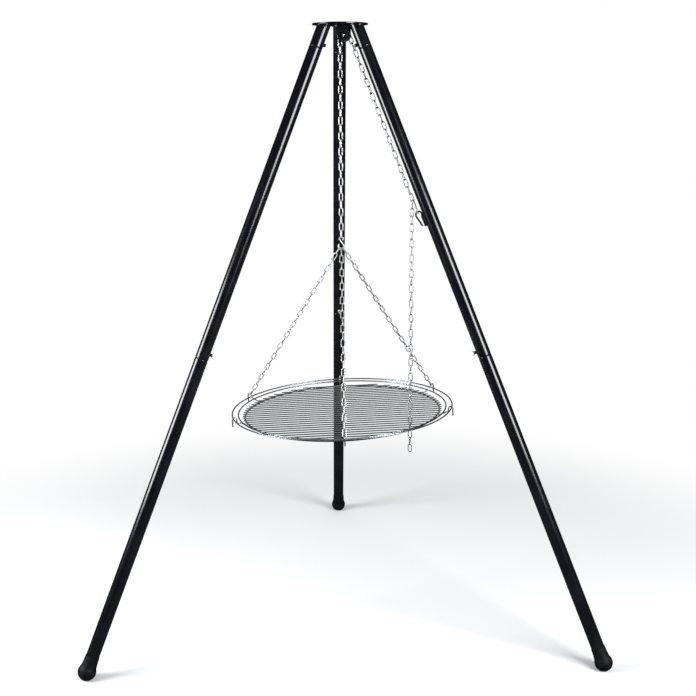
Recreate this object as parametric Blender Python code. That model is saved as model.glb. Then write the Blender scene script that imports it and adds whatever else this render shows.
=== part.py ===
"""Tripod swing grill: three plug-together legs, a pulley under the head plate and a
round grate that hangs from a welded-link chain. Metres, +Z up, feet on z = 0."""
import bmesh
import bpy
from math import asin, atan2, cos, hypot, pi, radians, sin, sqrt, tan
from mathutils import Matrix, Vector
from mathutils.geometry import intersect_point_line

X_AXIS = Vector((1, 0, 0))
Z_AXIS = Vector((0, 0, 1))

# General clearances
GAP = 0.0003
LEAN_PLAY = 0.0005
SMOOTH_ANGLE = radians(40)

# Tripod frame
HEIGHT = 1.800
FOOT_CIRCLE_RADIUS = 0.855
LEG_TOP_RADIUS = 0.0505
LEG_AZIMUTHS = {"left": 210, "right": 330, "back": 90}
PLATE_DIAMETER = 0.160
PLATE_THICKNESS = 0.004
PLATE_SEGMENTS = 36
TUBE_DIAMETER = 0.038
TUBE_WALL = 0.0015
TUBE_SIDES = 16
STUB_LENGTH = 0.075
UPPER_TUBE_END = 1.010
SPIGOT_LENGTH = 0.060
SPIGOT_WALL = 0.0015
SHOULDER_BEVEL = 0.0012
SWAGE_LENGTH = 0.006
FOOT_BALL_DIAMETER = 0.052
FOOT_BALL_HEIGHT = 0.0225
FOOT_SLEEVE_WALL = 0.0030
FOOT_SLEEVE_TOP = 0.045
FOOT_SOCKET_FLOOR = 0.004
FOOT_DOME_STEPS = 5

# Clamp screws at the plug joints
SCREW_SETBACK = 0.018
SCREW_DIAMETER = 0.006
SCREW_SIDES = 8
HOLE_SIDES = 12
SCREW_HOLE_DIAMETER = 0.0066
BOSS_WIDTH = 0.0105
BOSS_HEIGHT = 0.0065
COLLAR_DIAMETER = 0.009
COLLAR_HEIGHT = 0.0015
WING_LENGTH = 0.014
WING_WIDTH = 0.0045
WING_HEIGHT = 0.0055
WING_BEVEL = 0.0012

# Chain of welded links: square wire stands for round wire of the same area
LINK_PITCH = 0.0220
WIRE_HALF = 0.00133
LINK_INNER_HALF = 0.00375

# Pulley and its bracket
PULLEY_TURN = 18
AXLE_DROP = 0.033
CHAIN_RADIUS = 0.0125
SHEAVE_RADIUS = 0.0177
SHEAVE_HALF_WIDTH = 0.0095
GROOVE_HALF_WIDTH = 0.0072
GROOVE_MOUTH_HALF_WIDTH = 0.0079
SLOT_HALF_WIDTH = 0.0019
SHEAVE_SIDE_GAP = 0.0005
SHEAVE_SEGMENTS = 20
BRACKET_WIDTH = 0.032
BRACKET_SHEET = 0.003
BRACKET_ARC_STEPS = 12
AXLE_DIAMETER = 0.006
AXLE_BORE = 0.0066
BOLT_HEAD_DIAMETER = 0.010
BOLT_HEAD_HEIGHT = 0.0032
BOLT_DOME_SHARE = 0.85
BOLT_SIDES = 12
WASHER_DIAMETER = 0.018
WASHER_THICKNESS = 0.0015
WASHER_SIDES = 16
NUT_WIDTH = 0.0115
NUT_HEIGHT = 0.005
BOLT_END = 0.0015

# Load chain and S-hook
LOAD_LINKS = 26
S_HOOK_WIRE = 0.0042
S_HOOK_TOP_RADIUS = 0.0055
S_HOOK_BOTTOM_RADIUS = 0.0085
S_HOOK_CENTRES = 0.024
S_HOOK_TIP = 0.005
S_HOOK_TOP_OPENING = 8
S_HOOK_TIP_LEAN = 15
SUB_CHAIN_SPREAD = 50

# Hook on the right leg and the tail of the chain
HOOK_LEG = "right"
STRIP_START = 0.572
STRIP_END = 0.606
STRIP_HEIGHT = 0.008
STRIP_THICKNESS = 0.005
HOOK_WIRE = 0.005
HOOK_BEND_RADIUS = 0.0095
HOOK_TIP_LENGTH = 0.031
HOOK_LINK_PITCH = 0.038
HOOK_TIP_LEAN = 10
HOOK_BEND_OFFSET = 0.004
HOOK_ARC_STEPS = 12
TAIL_LINKS = 33

# Grate
GRATE_DROP = 1.1470
GRATE_TILT = 2.4
EDGE_RING_RADIUS = 0.2985
EDGE_WIRE = 0.005
BAR_WIRE = 0.004
BAR_PITCH = 0.0214
BAR_MARGIN = 0.0180
BAR_OVERHANG = 0.006
CROSS_BAR_WIRE = 0.006
CROSS_BAR_SIDES = 8
WELD_DEPTH = 0.0005
RING_SEGMENTS = 60
RING_SIDES = 5
RIM_WIRE = 0.004
MIDDLE_RING_STEP = 0.0200
TOP_RING_STEP = 0.0387
TOP_RING_RISE = 0.0141
UPRIGHT_WIRE = 0.004
UPRIGHT_FOOT_SET = 0.0015
UPRIGHT_KNEE_DROP = 0.008
ARCH_RISE = 0.006
ARCH_RADIUS = 0.0065
ARCH_TIP = 0.020
ARCH_STEPS = 6
CHAIN_UPRIGHTS = {"left": 150, "right": 30, "front": 270}
PLAIN_UPRIGHTS = {"back": 90, "front_left": 198, "front_right": 342}

# Values worked out from the driving dimensions
LEG_SPLAY = atan2(FOOT_CIRCLE_RADIUS - LEG_TOP_RADIUS, HEIGHT)
TUBE_RADIUS = TUBE_DIAMETER / 2
TUBE_BORE = TUBE_RADIUS - TUBE_WALL
SPIGOT_RADIUS = TUBE_BORE - GAP
FOOT_AXIS_RADIUS = FOOT_CIRCLE_RADIUS - FOOT_BALL_HEIGHT * tan(LEG_SPLAY)
AXIS_Y = -FOOT_AXIS_RADIUS / 4
LINK_CHAMFER = LINK_INNER_HALF - WIRE_HALF
LINK_OUTER_HALF = LINK_INNER_HALF + 2 * WIRE_HALF
HOOK_AZIMUTH = radians(LEG_AZIMUTHS[HOOK_LEG])
GRATE_HEIGHT = HEIGHT - GRATE_DROP
MIDDLE_RING_RADIUS = EDGE_RING_RADIUS + MIDDLE_RING_STEP
TOP_RING_RADIUS = EDGE_RING_RADIUS + TOP_RING_STEP


def clear_scene():
    for item in list(bpy.data.objects):
        bpy.data.objects.remove(item, do_unlink=True)


def make_material(name, colour, roughness, metallic):
    material = bpy.data.materials.new(name)
    material.use_nodes = True
    shader = material.node_tree.nodes["Principled BSDF"]
    shader.inputs["Base Color"].default_value = (*colour, 1)
    shader.inputs["Roughness"].default_value = roughness
    shader.inputs["Metallic"].default_value = metallic
    return material


def finish_materials():
    """One finish of each kind: paint, bright zinc, stainless wire and foot rubber."""
    return {
        "paint": ("gloss_black_paint", (0.012, 0.013, 0.017), 0.22, 0.0),
        "zinc": ("bright_zinc", (0.72, 0.72, 0.70), 0.28, 1.0),
        "wire": ("stainless_wire", (0.60, 0.60, 0.59), 0.30, 1.0),
        "rubber": ("black_rubber", (0.016, 0.016, 0.017), 0.55, 0.0),
    }


FINISHES = finish_materials()


def place(name, data, finish, parent=None, origin=None):
    """Link a mesh or curve as one object with its own copy of a finish."""
    item = bpy.data.objects.new(name, data)
    bpy.context.scene.collection.objects.link(item)
    label, colour, roughness, metallic = FINISHES[finish]
    data.materials.append(make_material(name + "_" + label, colour, roughness, metallic))
    item.parent = parent
    if origin is not None:
        item.location = origin
    return item


def mesh_object(name, shape, finish, parent=None, origin=None):
    """Turn a finished bmesh into an object. Its points are given about its origin."""
    bmesh.ops.recalc_face_normals(shape, faces=shape.faces)
    data = bpy.data.meshes.new(name)
    shape.to_mesh(data)
    shape.free()
    data.shade_smooth()
    data.set_sharp_from_angle(angle=SMOOTH_ANGLE)
    return place(name, data, finish, parent, origin)


def frame(name, matrix):
    """An empty that carries pieces in their own frame."""
    item = bpy.data.objects.new(name, None)
    bpy.context.scene.collection.objects.link(item)
    item.matrix_world = matrix
    return item


def axes_matrix(x_axis, y_axis, z_axis, origin):
    matrix = Matrix((x_axis, y_axis, z_axis)).transposed().to_4x4()
    matrix.translation = origin
    return matrix


def revolve(profile, segments, closed):
    """Spin (radius, height) points about Z. A closed profile is a ring's section."""
    shape = bmesh.new()
    points = [shape.verts.new((radius, 0, height)) for radius, height in profile]
    edges = [shape.edges.new(pair) for pair in zip(points, points[1:])]
    if closed:
        edges.append(shape.edges.new((points[-1], points[0])))
    bmesh.ops.spin(
        shape, geom=points + edges, axis=Z_AXIS, cent=(0, 0, 0),
        angle=2 * pi, steps=segments, use_merge=True,
    )
    bmesh.ops.remove_doubles(shape, verts=shape.verts, dist=1e-6)
    return shape


def prism(outline, depth):
    """Extrude an (x, y) outline along Z, centred on z = 0."""
    shape = bmesh.new()
    base = [shape.verts.new((x, y, -depth / 2)) for x, y in outline]
    face = shape.faces.new(base)
    top = bmesh.ops.extrude_face_region(shape, geom=[face])["geom"]
    raised = [item for item in top if isinstance(item, bmesh.types.BMVert)]
    bmesh.ops.translate(shape, verts=raised, vec=(0, 0, depth))
    return shape


def cylinder(radius, depth, sides, matrix=None):
    shape = bmesh.new()
    bmesh.ops.create_cone(
        shape, cap_ends=True, segments=sides, radius1=radius, radius2=radius, depth=depth,
        matrix=matrix or Matrix(),
    )
    return shape


def arc(radius, start, end, steps):
    """Points of an arc in a plane, angles in radians."""
    turn = (end - start) / steps
    return [(radius * cos(start + turn * i), radius * sin(start + turn * i)) for i in range(steps + 1)]


def combine(item, tool, operation):
    """Cut or join with a helper that stays hidden and is no piece of its own."""
    tool.hide_render = True
    tool.display_type = "WIRE"
    modifier = item.modifiers.new(tool.name, "BOOLEAN")
    modifier.operation = operation
    modifier.solver = "EXACT"
    modifier.object = tool


def rod(name, points, diameter, resolution, finish, parent=None, origin=None):
    """A bent round rod along points that are given about its origin."""
    data = bpy.data.curves.new(name, "CURVE")
    data.dimensions = "3D"
    data.bevel_depth = diameter / 2
    data.bevel_resolution = resolution
    data.use_fill_caps = True
    spline = data.splines.new("POLY")
    spline.points.add(len(points) - 1)
    for target, point in zip(spline.points, points):
        target.co = (*point, 1)
    spline.use_smooth = True
    return place(name, data, finish, parent, origin)


# Tripod legs


def leg_matrix(azimuth):
    """Leg frame: +Z up along the leg, +X towards the tripod's middle, origin on top."""
    angle = radians(azimuth)
    outward = Vector((cos(angle), sin(angle), 0))
    along = -outward * sin(LEG_SPLAY) + Z_AXIS * cos(LEG_SPLAY)
    inward = -outward * cos(LEG_SPLAY) - Z_AXIS * sin(LEG_SPLAY)
    origin = outward * LEG_TOP_RADIUS + Vector((0, AXIS_Y, HEIGHT))
    return axes_matrix(inward, along.cross(inward), along, origin)


def build_head_plate():
    radius = PLATE_DIAMETER / 2
    bevel = PLATE_THICKNESS / 5
    profile = [
        (0, 0), (radius - bevel, 0), (radius, -bevel), (radius, bevel - PLATE_THICKNESS),
        (radius - bevel, -PLATE_THICKNESS), (0, -PLATE_THICKNESS),
    ]
    mesh_object("head_plate", revolve(profile, PLATE_SEGMENTS, False), "paint",
                origin=(0, AXIS_Y, HEIGHT))


def screw_cutter(name, diameter, distance, parent):
    """Round cutter through the wall on the leg's inner side."""
    turn = Matrix.Translation((TUBE_RADIUS, 0, 0)) @ Matrix.Rotation(pi / 2, 4, "Y")
    shape = cylinder(diameter / 2, TUBE_RADIUS, HOLE_SIDES, turn)
    return mesh_object(name, shape, "paint", parent, (0, 0, -distance))


def build_stub(side, parent):
    """Short sleeve under the plate, its upper end cut to the plate's underside."""
    profile = [(TUBE_RADIUS, 0), (TUBE_RADIUS, -STUB_LENGTH), (TUBE_BORE, -STUB_LENGTH), (TUBE_BORE, 0)]
    shape = revolve(profile, TUBE_SIDES, True)
    seat = -PLATE_THICKNESS - GAP
    for corner in shape.verts:
        if corner.co.z > -STUB_LENGTH / 2:
            corner.co.z = (seat + corner.co.x * sin(LEG_SPLAY)) / cos(LEG_SPLAY)
    stub = mesh_object("stub_" + side, shape, "paint", parent)
    combine(stub, screw_cutter("hole_stub_" + side, SCREW_HOLE_DIAMETER,
                               STUB_LENGTH - SCREW_SETBACK, parent), "DIFFERENCE")


def tube_profile(start, end):
    """Tube with a swaged spigot on its upper end and a bevelled shoulder below it."""
    spigot_bore = SPIGOT_RADIUS - SPIGOT_WALL
    shoulder = start + GAP
    tip = shoulder - SPIGOT_LENGTH
    return [
        (SPIGOT_RADIUS, -tip), (SPIGOT_RADIUS, -shoulder), (TUBE_RADIUS - SHOULDER_BEVEL / 2, -shoulder),
        (TUBE_RADIUS, -shoulder - SHOULDER_BEVEL), (TUBE_RADIUS, -end), (TUBE_BORE, -end),
        (TUBE_BORE, -shoulder - 2 * SWAGE_LENGTH), (spigot_bore, -shoulder - SWAGE_LENGTH), (spigot_bore, -tip),
    ]


def build_upper_tube(side, parent):
    shape = revolve(tube_profile(STUB_LENGTH, UPPER_TUBE_END), TUBE_SIDES, True)
    tube = mesh_object("upper_tube_" + side, shape, "paint", parent)
    combine(tube, screw_cutter("hole_tube_" + side, SCREW_HOLE_DIAMETER,
                               UPPER_TUBE_END - SCREW_SETBACK, parent), "DIFFERENCE")


def foot_distance():
    """Distance along the leg from its top point to the middle of the foot ball."""
    return (HEIGHT - FOOT_BALL_HEIGHT) / cos(LEG_SPLAY)


def build_lower_tube(side, parent):
    end = foot_distance() - FOOT_SOCKET_FLOOR - GAP
    shape = revolve(tube_profile(UPPER_TUBE_END, end), TUBE_SIDES, True)
    mesh_object("lower_tube_" + side, shape, "paint", parent)


def build_foot(side, parent):
    """Ball-ended rubber cap pushed over the tube and worn flat where it stands."""
    ball = FOOT_BALL_DIAMETER / 2
    socket = TUBE_RADIUS + GAP
    sleeve = socket + FOOT_SLEEVE_WALL
    middle = -foot_distance()
    start = asin(sleeve / ball)
    step = (pi - start) / FOOT_DOME_STEPS
    dome = [
        (ball * cos(angle), middle + ball * sin(angle))
        for angle in [pi / 2 - start - step * i for i in range(FOOT_DOME_STEPS + 1)]
    ]
    dome[-1] = (0, middle - ball)
    profile = [
        (0, middle + FOOT_SOCKET_FLOOR), (socket, middle + FOOT_SOCKET_FLOOR),
        (socket, middle + FOOT_SLEEVE_TOP), (sleeve - GAP, middle + FOOT_SLEEVE_TOP),
        (sleeve, middle + FOOT_SLEEVE_TOP - 2 * GAP),
    ] + dome
    shape = revolve(profile, TUBE_SIDES, False)
    ground_normal = Vector((-sin(LEG_SPLAY), 0, cos(LEG_SPLAY)))
    ground_point = ground_normal * -HEIGHT
    cut = bmesh.ops.bisect_plane(
        shape, geom=shape.verts[:] + shape.edges[:] + shape.faces[:],
        plane_co=ground_point, plane_no=ground_normal, clear_inner=True,
    )["geom_cut"]
    rim = [item for item in cut if isinstance(item, bmesh.types.BMEdge)]
    bmesh.ops.contextual_create(shape, geom=rim)
    mesh_object("foot_" + side, shape, "rubber", parent)


def build_boss(name, distance, parent):
    """Hexagonal welding nut, saddled to the tube and bored for its screw."""
    base = TUBE_BORE
    top = TUBE_RADIUS + BOSS_HEIGHT
    turn = Matrix.Translation(((base + top) / 2, 0, 0)) @ Matrix.Rotation(pi / 2, 4, "Y")
    shape = cylinder(BOSS_WIDTH / 2, top - base, 6, turn)
    boss = mesh_object(name, shape, "paint", parent, (0, 0, -distance))
    saddle = mesh_object("saddle_" + name, cylinder(TUBE_RADIUS + GAP, BOSS_WIDTH * 2, TUBE_SIDES),
                         "paint", parent, (0, 0, -distance))
    combine(boss, saddle, "DIFFERENCE")
    combine(boss, screw_cutter("bore_" + name, SCREW_HOLE_DIAMETER, distance, parent), "DIFFERENCE")


def build_clamp_screw(name, distance, parent):
    """Wing screw: its tip meets the spigot inside, its collar stands off the boss."""
    shank = SCREW_DIAMETER / 2
    collar = COLLAR_DIAMETER / 2
    tip = TUBE_BORE
    seat = TUBE_RADIUS + BOSS_HEIGHT + GAP
    head = seat + COLLAR_HEIGHT
    profile = [(0, tip), (shank, tip), (shank, seat), (collar, seat), (collar, head), (0, head)]
    screw = mesh_object(name, revolve(profile, SCREW_SIDES, False), "zinc", parent, (0, 0, -distance))
    screw.rotation_euler = (0, pi / 2, 0)
    wing = bmesh.new()
    bmesh.ops.create_cube(wing, size=1)
    bmesh.ops.scale(wing, vec=(WING_LENGTH, WING_WIDTH, WING_HEIGHT), verts=wing.verts)
    corners = [edge for edge in wing.edges if edge.verts[0].co.y * edge.verts[1].co.y < 0]
    bmesh.ops.bevel(wing, geom=corners, offset=WING_BEVEL, segments=1, affect="EDGES")
    bmesh.ops.translate(wing, vec=(0, 0, head - WELD_DEPTH + WING_HEIGHT / 2), verts=wing.verts)
    tool = mesh_object("wing_" + name, wing, "zinc", parent, (0, 0, -distance))
    tool.rotation_euler = (0, pi / 2, 0)
    combine(screw, tool, "UNION")


def build_legs():
    for side, azimuth in LEG_AZIMUTHS.items():
        carrier = frame("leg_frame_" + side, leg_matrix(azimuth))
        build_stub(side, carrier)
        build_upper_tube(side, carrier)
        build_lower_tube(side, carrier)
        build_foot(side, carrier)
        for joint, end in (("stub", STUB_LENGTH), ("tube", UPPER_TUBE_END)):
            build_boss("boss_" + joint + "_" + side, end - SCREW_SETBACK, carrier)
            build_clamp_screw("clamp_screw_" + joint + "_" + side, end - SCREW_SETBACK, carrier)
        if side == HOOK_LEG:
            build_leg_hook(carrier)


# Chain links


def add_link(shape, centre, along, wide, pitch):
    """One octagonal link about its centre. Returns its two inner end squares."""
    thick = along.cross(wide)
    half = pitch / 2
    mitre = 2 * WIRE_HALF * tan(pi / 8)
    inner = [(WIRE_HALF, -half), (LINK_INNER_HALF, LINK_CHAMFER - half)]
    outer = [(WIRE_HALF + mitre, -half - 2 * WIRE_HALF), (LINK_OUTER_HALF, LINK_CHAMFER - half - mitre)]
    quarter = list(zip(inner, outer))
    right = quarter + [((a[0], -a[1]), (b[0], -b[1])) for a, b in reversed(quarter)]
    left = [((-a[0], a[1]), (-b[0], b[1])) for a, b in reversed(right)]
    stations = []
    for (wi, ti), (wo, to) in right + left:
        corners = [(wi, ti, -1), (wi, ti, 1), (wo, to, 1), (wo, to, -1)]
        stations.append([
            shape.verts.new(centre + wide * w + along * t + thick * (n * WIRE_HALF))
            for w, t, n in corners
        ])
    count = len(stations)
    squares = []
    for i in range(count):
        this, following = stations[i], stations[(i + 1) % count]
        for k in range(4):
            face = shape.faces.new((this[k], following[k], following[(k + 1) % 4], this[(k + 1) % 4]))
            if k == 0 and i in (3, 7):
                squares.append(face)
    return squares[1], squares[0]


def chain_run(start, end, links, wide):
    """Links fused end to end: neighbours turn a quarter and share their end square."""
    shape = bmesh.new()
    span = end - start
    along = span.normalized()
    pitch = span.length / links
    across = (wide - along * wide.dot(along)).normalized()
    open_square = None
    for i in range(links):
        centre = start + along * (pitch * (i + 0.5))
        top, bottom = add_link(shape, centre, along, across, pitch)
        if open_square:
            bmesh.ops.delete(shape, geom=[open_square, top], context="FACES_ONLY")
        open_square = bottom
        across = along.cross(across)
    bmesh.ops.remove_doubles(shape, verts=shape.verts, dist=1e-6)
    return shape


def chain_object(name, start, end, links, wide, origin=None):
    """A run of chain as an object whose origin is its upper end or a given point."""
    pivot = start if origin is None else origin
    mesh_object(name, chain_run(start - pivot, end - pivot, links, wide), "zinc", origin=pivot)


def whole_links(length, odd):
    """Whole number of links of the wanted parity that spans a length best."""
    parity = 1 if odd else 0
    return 2 * round((length / LINK_PITCH - parity) / 2) + parity


def end_outline():
    """Points of a link's inner end, as (across, into the opening, through) offsets."""
    half = [(WIRE_HALF, 0), (LINK_INNER_HALF, LINK_CHAMFER)]
    corners = [(-w, t) for w, t in reversed(half)] + half
    steps = 6
    for (w0, t0), (w1, t1) in zip(corners, corners[1:]):
        for i in range(steps + 1):
            share = i / steps
            for through in (-WIRE_HALF, 0, WIRE_HALF):
                yield w0 + (w1 - w0) * share, t0 + (t1 - t0) * share, through


def seat_in_bend(bend, contact, into, wide):
    """Pull a link's end square against the inside of a bent rod.

    The rod runs through the link at the contact direction from the bend's middle. The
    link leaves it along `into`, so its end square backs off the rod the other way."""
    centre, bend_x, bend_y, bend_radius, wire = bend
    bend_normal = bend_x.cross(bend_y)
    rod_point = contact * bend_radius
    wide = (wide - into * wide.dot(into)).normalized()
    thick = into.cross(wide)
    low, high = 0.0, bend_radius
    for _ in range(20):
        distance = (low + high) / 2
        nearest = bend_radius
        for w, t, n in end_outline():
            point = rod_point + wide * w + into * (t - distance) + thick * n
            ring = hypot(point.dot(bend_x), point.dot(bend_y)) - bend_radius
            nearest = min(nearest, hypot(ring, point.dot(bend_normal)))
        if nearest < wire / 2 + GAP:
            low = distance
        else:
            high = distance
    return centre + rod_point - into * high


# Pulley


def pulley_axes():
    turn = radians(PULLEY_TURN)
    return Vector((cos(turn), -sin(turn), 0)), Vector((sin(turn), cos(turn), 0))


def axle_point():
    """Axle middle, placed so that the load chain hangs on the tripod's axis."""
    across, _ = pulley_axes()
    return Vector((0, AXIS_Y, HEIGHT - AXLE_DROP)) + across * CHAIN_RADIUS


def top_link_reach(bend):
    """Half of the distance between the two bars that the top link holds."""
    turned = pi / 2 - bend
    return LINK_PITCH / 2 - WIRE_HALF * (cos(turned) + sin(turned)) - GAP


def wrap_geometry():
    """Chain round the sheave, in the sheave's plane about the axle.

    The two flat links lie on the groove floor at CHAIN_RADIUS. The link that stands in
    the slot joins them. Their bars lie at equal distances from the bisector."""
    across, _ = pulley_axes()
    axle = axle_point()
    target = hook_arch_centre() - axle
    reach = hypot(target.dot(across), target.z)
    lean = atan2(target.dot(across), -target.z) - asin(CHAIN_RADIUS / reach)
    half_wrap = (pi - lean) / 2
    rise = (CHAIN_RADIUS * sin(half_wrap) - top_link_reach(half_wrap)) / cos(half_wrap)
    height = CHAIN_RADIUS * cos(half_wrap) + rise * sin(half_wrap)
    return lean, half_wrap, rise, height


def pulley_point(across_distance, height):
    across, _ = pulley_axes()
    return axle_point() + across * across_distance + Z_AXIS * height


def leaving_axes():
    """Direction of the chain that leaves the sheave, and the way out from the axle."""
    lean = wrap_geometry()[0]
    across, _ = pulley_axes()
    along = across * sin(lean) - Z_AXIS * cos(lean)
    outward = across * cos(lean) + Z_AXIS * sin(lean)
    return along, outward


def left_link_ends():
    rise = wrap_geometry()[2]
    top = rise - WIRE_HALF
    return pulley_point(-CHAIN_RADIUS, top), pulley_point(-CHAIN_RADIUS, top - LINK_PITCH)


def right_link_ends():
    rise = wrap_geometry()[2]
    along, outward = leaving_axes()
    tangent = axle_point() + outward * CHAIN_RADIUS
    top = tangent + along * (WIRE_HALF - rise)
    return top, top + along * LINK_PITCH


def build_wrap_links():
    across, side = pulley_axes()
    _, half_wrap, _, height = wrap_geometry()
    chain_object("wrap_link_left", *left_link_ends(), 1, side)
    chain_object("wrap_link_right", *right_link_ends(), 1, side)
    bisector = Z_AXIS * sin(half_wrap) - across * cos(half_wrap)
    lying = across * sin(half_wrap) + Z_AXIS * cos(half_wrap)
    middle = axle_point() + bisector * height
    start = middle - lying * (LINK_PITCH / 2)
    chain_object("wrap_link_top", start, middle + lying * (LINK_PITCH / 2), 1, bisector)


def hanging_link_distance():
    """Distance from the axle to the outline of the link that hangs beside the sheave."""
    mitre = 2 * WIRE_HALF * tan(pi / 8)
    top = load_levels()[0] - axle_point().z
    crown = Vector((WIRE_HALF + mitre - CHAIN_RADIUS, top + 2 * WIRE_HALF))
    shoulder = Vector((LINK_OUTER_HALF - CHAIN_RADIUS, top + mitre - LINK_CHAMFER))
    _, share = intersect_point_line(Vector((0, 0)), crown, shoulder)
    return crown.lerp(shoulder, min(max(share, 0), 1)).length


def build_sheave(carrier):
    """Pocket-less chain sheave: floor for flat links, slot for the standing ones."""
    floor = CHAIN_RADIUS - WIRE_HALF - GAP
    slot = min(wrap_geometry()[3] - LINK_OUTER_HALF, hanging_link_distance()) - GAP
    bore = AXLE_BORE / 2
    half = [
        (bore, SHEAVE_HALF_WIDTH), (SHEAVE_RADIUS, SHEAVE_HALF_WIDTH),
        (SHEAVE_RADIUS, GROOVE_MOUTH_HALF_WIDTH), (floor, GROOVE_HALF_WIDTH),
        (floor, SLOT_HALF_WIDTH), (slot, SLOT_HALF_WIDTH),
    ]
    profile = half + [(radius, -height) for radius, height in reversed(half)]
    mesh_object("sheave", revolve(profile, SHEAVE_SEGMENTS, True), "zinc", carrier)


def build_bracket(carrier):
    """Inverted U of flat strip with round ends, welded under the plate."""
    inner = SHEAVE_HALF_WIDTH + SHEAVE_SIDE_GAP
    outer = inner + BRACKET_SHEET
    top = AXLE_DROP - PLATE_THICKNESS - GAP
    round_radius = BRACKET_WIDTH / 2
    outline = [
        (-outer, top), (outer, top), (outer, -round_radius), (inner, -round_radius),
        (inner, top - BRACKET_SHEET), (-inner, top - BRACKET_SHEET),
        (-inner, -round_radius), (-outer, -round_radius),
    ]
    shape = prism([(height, side) for side, height in outline], BRACKET_WIDTH)
    bmesh.ops.rotate(shape, verts=shape.verts, matrix=Matrix.Rotation(pi / 2, 3, "X"))
    bracket = mesh_object("pulley_bracket", shape, "paint", carrier)
    tab = [(top + GAP, -round_radius), (top + GAP, round_radius)]
    tab += [(-y, x) for x, y in arc(round_radius, 0, pi, BRACKET_ARC_STEPS)]
    trim = mesh_object("bracket_outline", prism(tab, 4 * outer), "paint", carrier)
    combine(bracket, trim, "INTERSECT")
    hole = mesh_object("bracket_hole", cylinder(AXLE_BORE / 2, 4 * outer, HOLE_SIDES), "paint", carrier)
    combine(bracket, hole, "DIFFERENCE")


def build_axle(carrier):
    """Bolt through both cheeks, a washer under its domed head and a nut behind."""
    face = SHEAVE_HALF_WIDTH + SHEAVE_SIDE_GAP + BRACKET_SHEET
    shank = AXLE_DIAMETER / 2
    head = BOLT_HEAD_DIAMETER / 2
    washer_top = face + GAP + WASHER_THICKNESS
    seat = washer_top + GAP
    end = -(face + GAP + NUT_HEIGHT + BOLT_END)
    profile = [
        (0, end), (shank, end), (shank, seat), (head, seat), (head, seat + BOLT_HEAD_HEIGHT / 3),
        (head - BOLT_HEAD_HEIGHT, seat + BOLT_HEAD_HEIGHT * BOLT_DOME_SHARE), (0, seat + BOLT_HEAD_HEIGHT),
    ]
    mesh_object("axle_bolt", revolve(profile, BOLT_SIDES, False), "zinc", carrier)
    ring = [
        (AXLE_BORE / 2, face + GAP), (WASHER_DIAMETER / 2, face + GAP),
        (WASHER_DIAMETER / 2, washer_top), (AXLE_BORE / 2, washer_top),
    ]
    mesh_object("axle_washer", revolve(ring, WASHER_SIDES, True), "paint", carrier)
    middle = -(face + GAP + NUT_HEIGHT / 2)
    nut = mesh_object("axle_nut", cylinder(NUT_WIDTH / 2, NUT_HEIGHT, 6), "zinc", carrier,
                      (0, 0, middle))
    hole = mesh_object("nut_hole", cylinder(AXLE_BORE / 2, 2 * NUT_HEIGHT, HOLE_SIDES), "zinc", carrier,
                       (0, 0, middle))
    combine(nut, hole, "DIFFERENCE")


def build_pulley():
    """Pulley frame: local Z points out of the front along the axle, local X points up."""
    across, side = pulley_axes()
    carrier = frame("pulley_frame", axes_matrix(Z_AXIS, -across, -side, axle_point()))
    build_bracket(carrier)
    build_sheave(carrier)
    build_axle(carrier)
    build_wrap_links()


# Hook on the leg


def hook_plane(distance, inset):
    """World point in the leg's own upright plane: along the leg and in from its axis."""
    matrix = leg_matrix(LEG_AZIMUTHS[HOOK_LEG])
    return matrix @ Vector((inset, 0, -distance))


def hook_arch_centre():
    inset = TUBE_RADIUS + GAP + STRIP_HEIGHT / 2 + HOOK_BEND_RADIUS
    return hook_plane(STRIP_START - HOOK_BEND_OFFSET, inset)


def build_leg_hook(carrier):
    """Flat strip welded along the leg and the bent rod that grows from its upper end."""
    middle = (STRIP_START + STRIP_END) / 2
    shape = bmesh.new()
    bmesh.ops.create_cube(shape, size=1)
    low = TUBE_BORE
    high = TUBE_RADIUS + GAP + STRIP_HEIGHT
    bmesh.ops.scale(shape, vec=(high - low, STRIP_THICKNESS, STRIP_END - STRIP_START), verts=shape.verts)
    bmesh.ops.translate(shape, vec=((low + high) / 2, 0, 0), verts=shape.verts)
    strip = mesh_object("hook_strip", shape, "paint", carrier, (0, 0, -middle))
    cutter = cylinder(TUBE_RADIUS + GAP, 2 * (STRIP_END - STRIP_START), TUBE_SIDES)
    saddle = mesh_object("saddle_strip", cutter, "paint", carrier, (0, 0, -middle))
    combine(strip, saddle, "DIFFERENCE")
    shank_inset = TUBE_RADIUS + GAP + STRIP_HEIGHT / 2
    centre = Vector((shank_inset + HOOK_BEND_RADIUS, 0, HOOK_BEND_OFFSET - STRIP_START))
    tip_turn = LEG_SPLAY - radians(HOOK_TIP_LEAN)
    bend = arc(HOOK_BEND_RADIUS, pi, -tip_turn, HOOK_ARC_STEPS)
    points = [Vector((shank_inset, 0, GAP - STRIP_START))]
    points += [centre + Vector((x, 0, z)) for x, z in bend]
    fall = Vector((-sin(tip_turn), 0, -cos(tip_turn)))
    points.append(points[-1] + fall * HOOK_TIP_LENGTH)
    rod("leg_hook", points, HOOK_WIRE, 1, "paint", carrier)


def leg_hook_bend():
    """Bend of the leg hook: middle, its two in-plane axes, radius and wire."""
    outward = Vector((cos(HOOK_AZIMUTH), sin(HOOK_AZIMUTH), 0))
    return hook_arch_centre(), outward, Z_AXIS, HOOK_BEND_RADIUS, HOOK_WIRE


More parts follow.
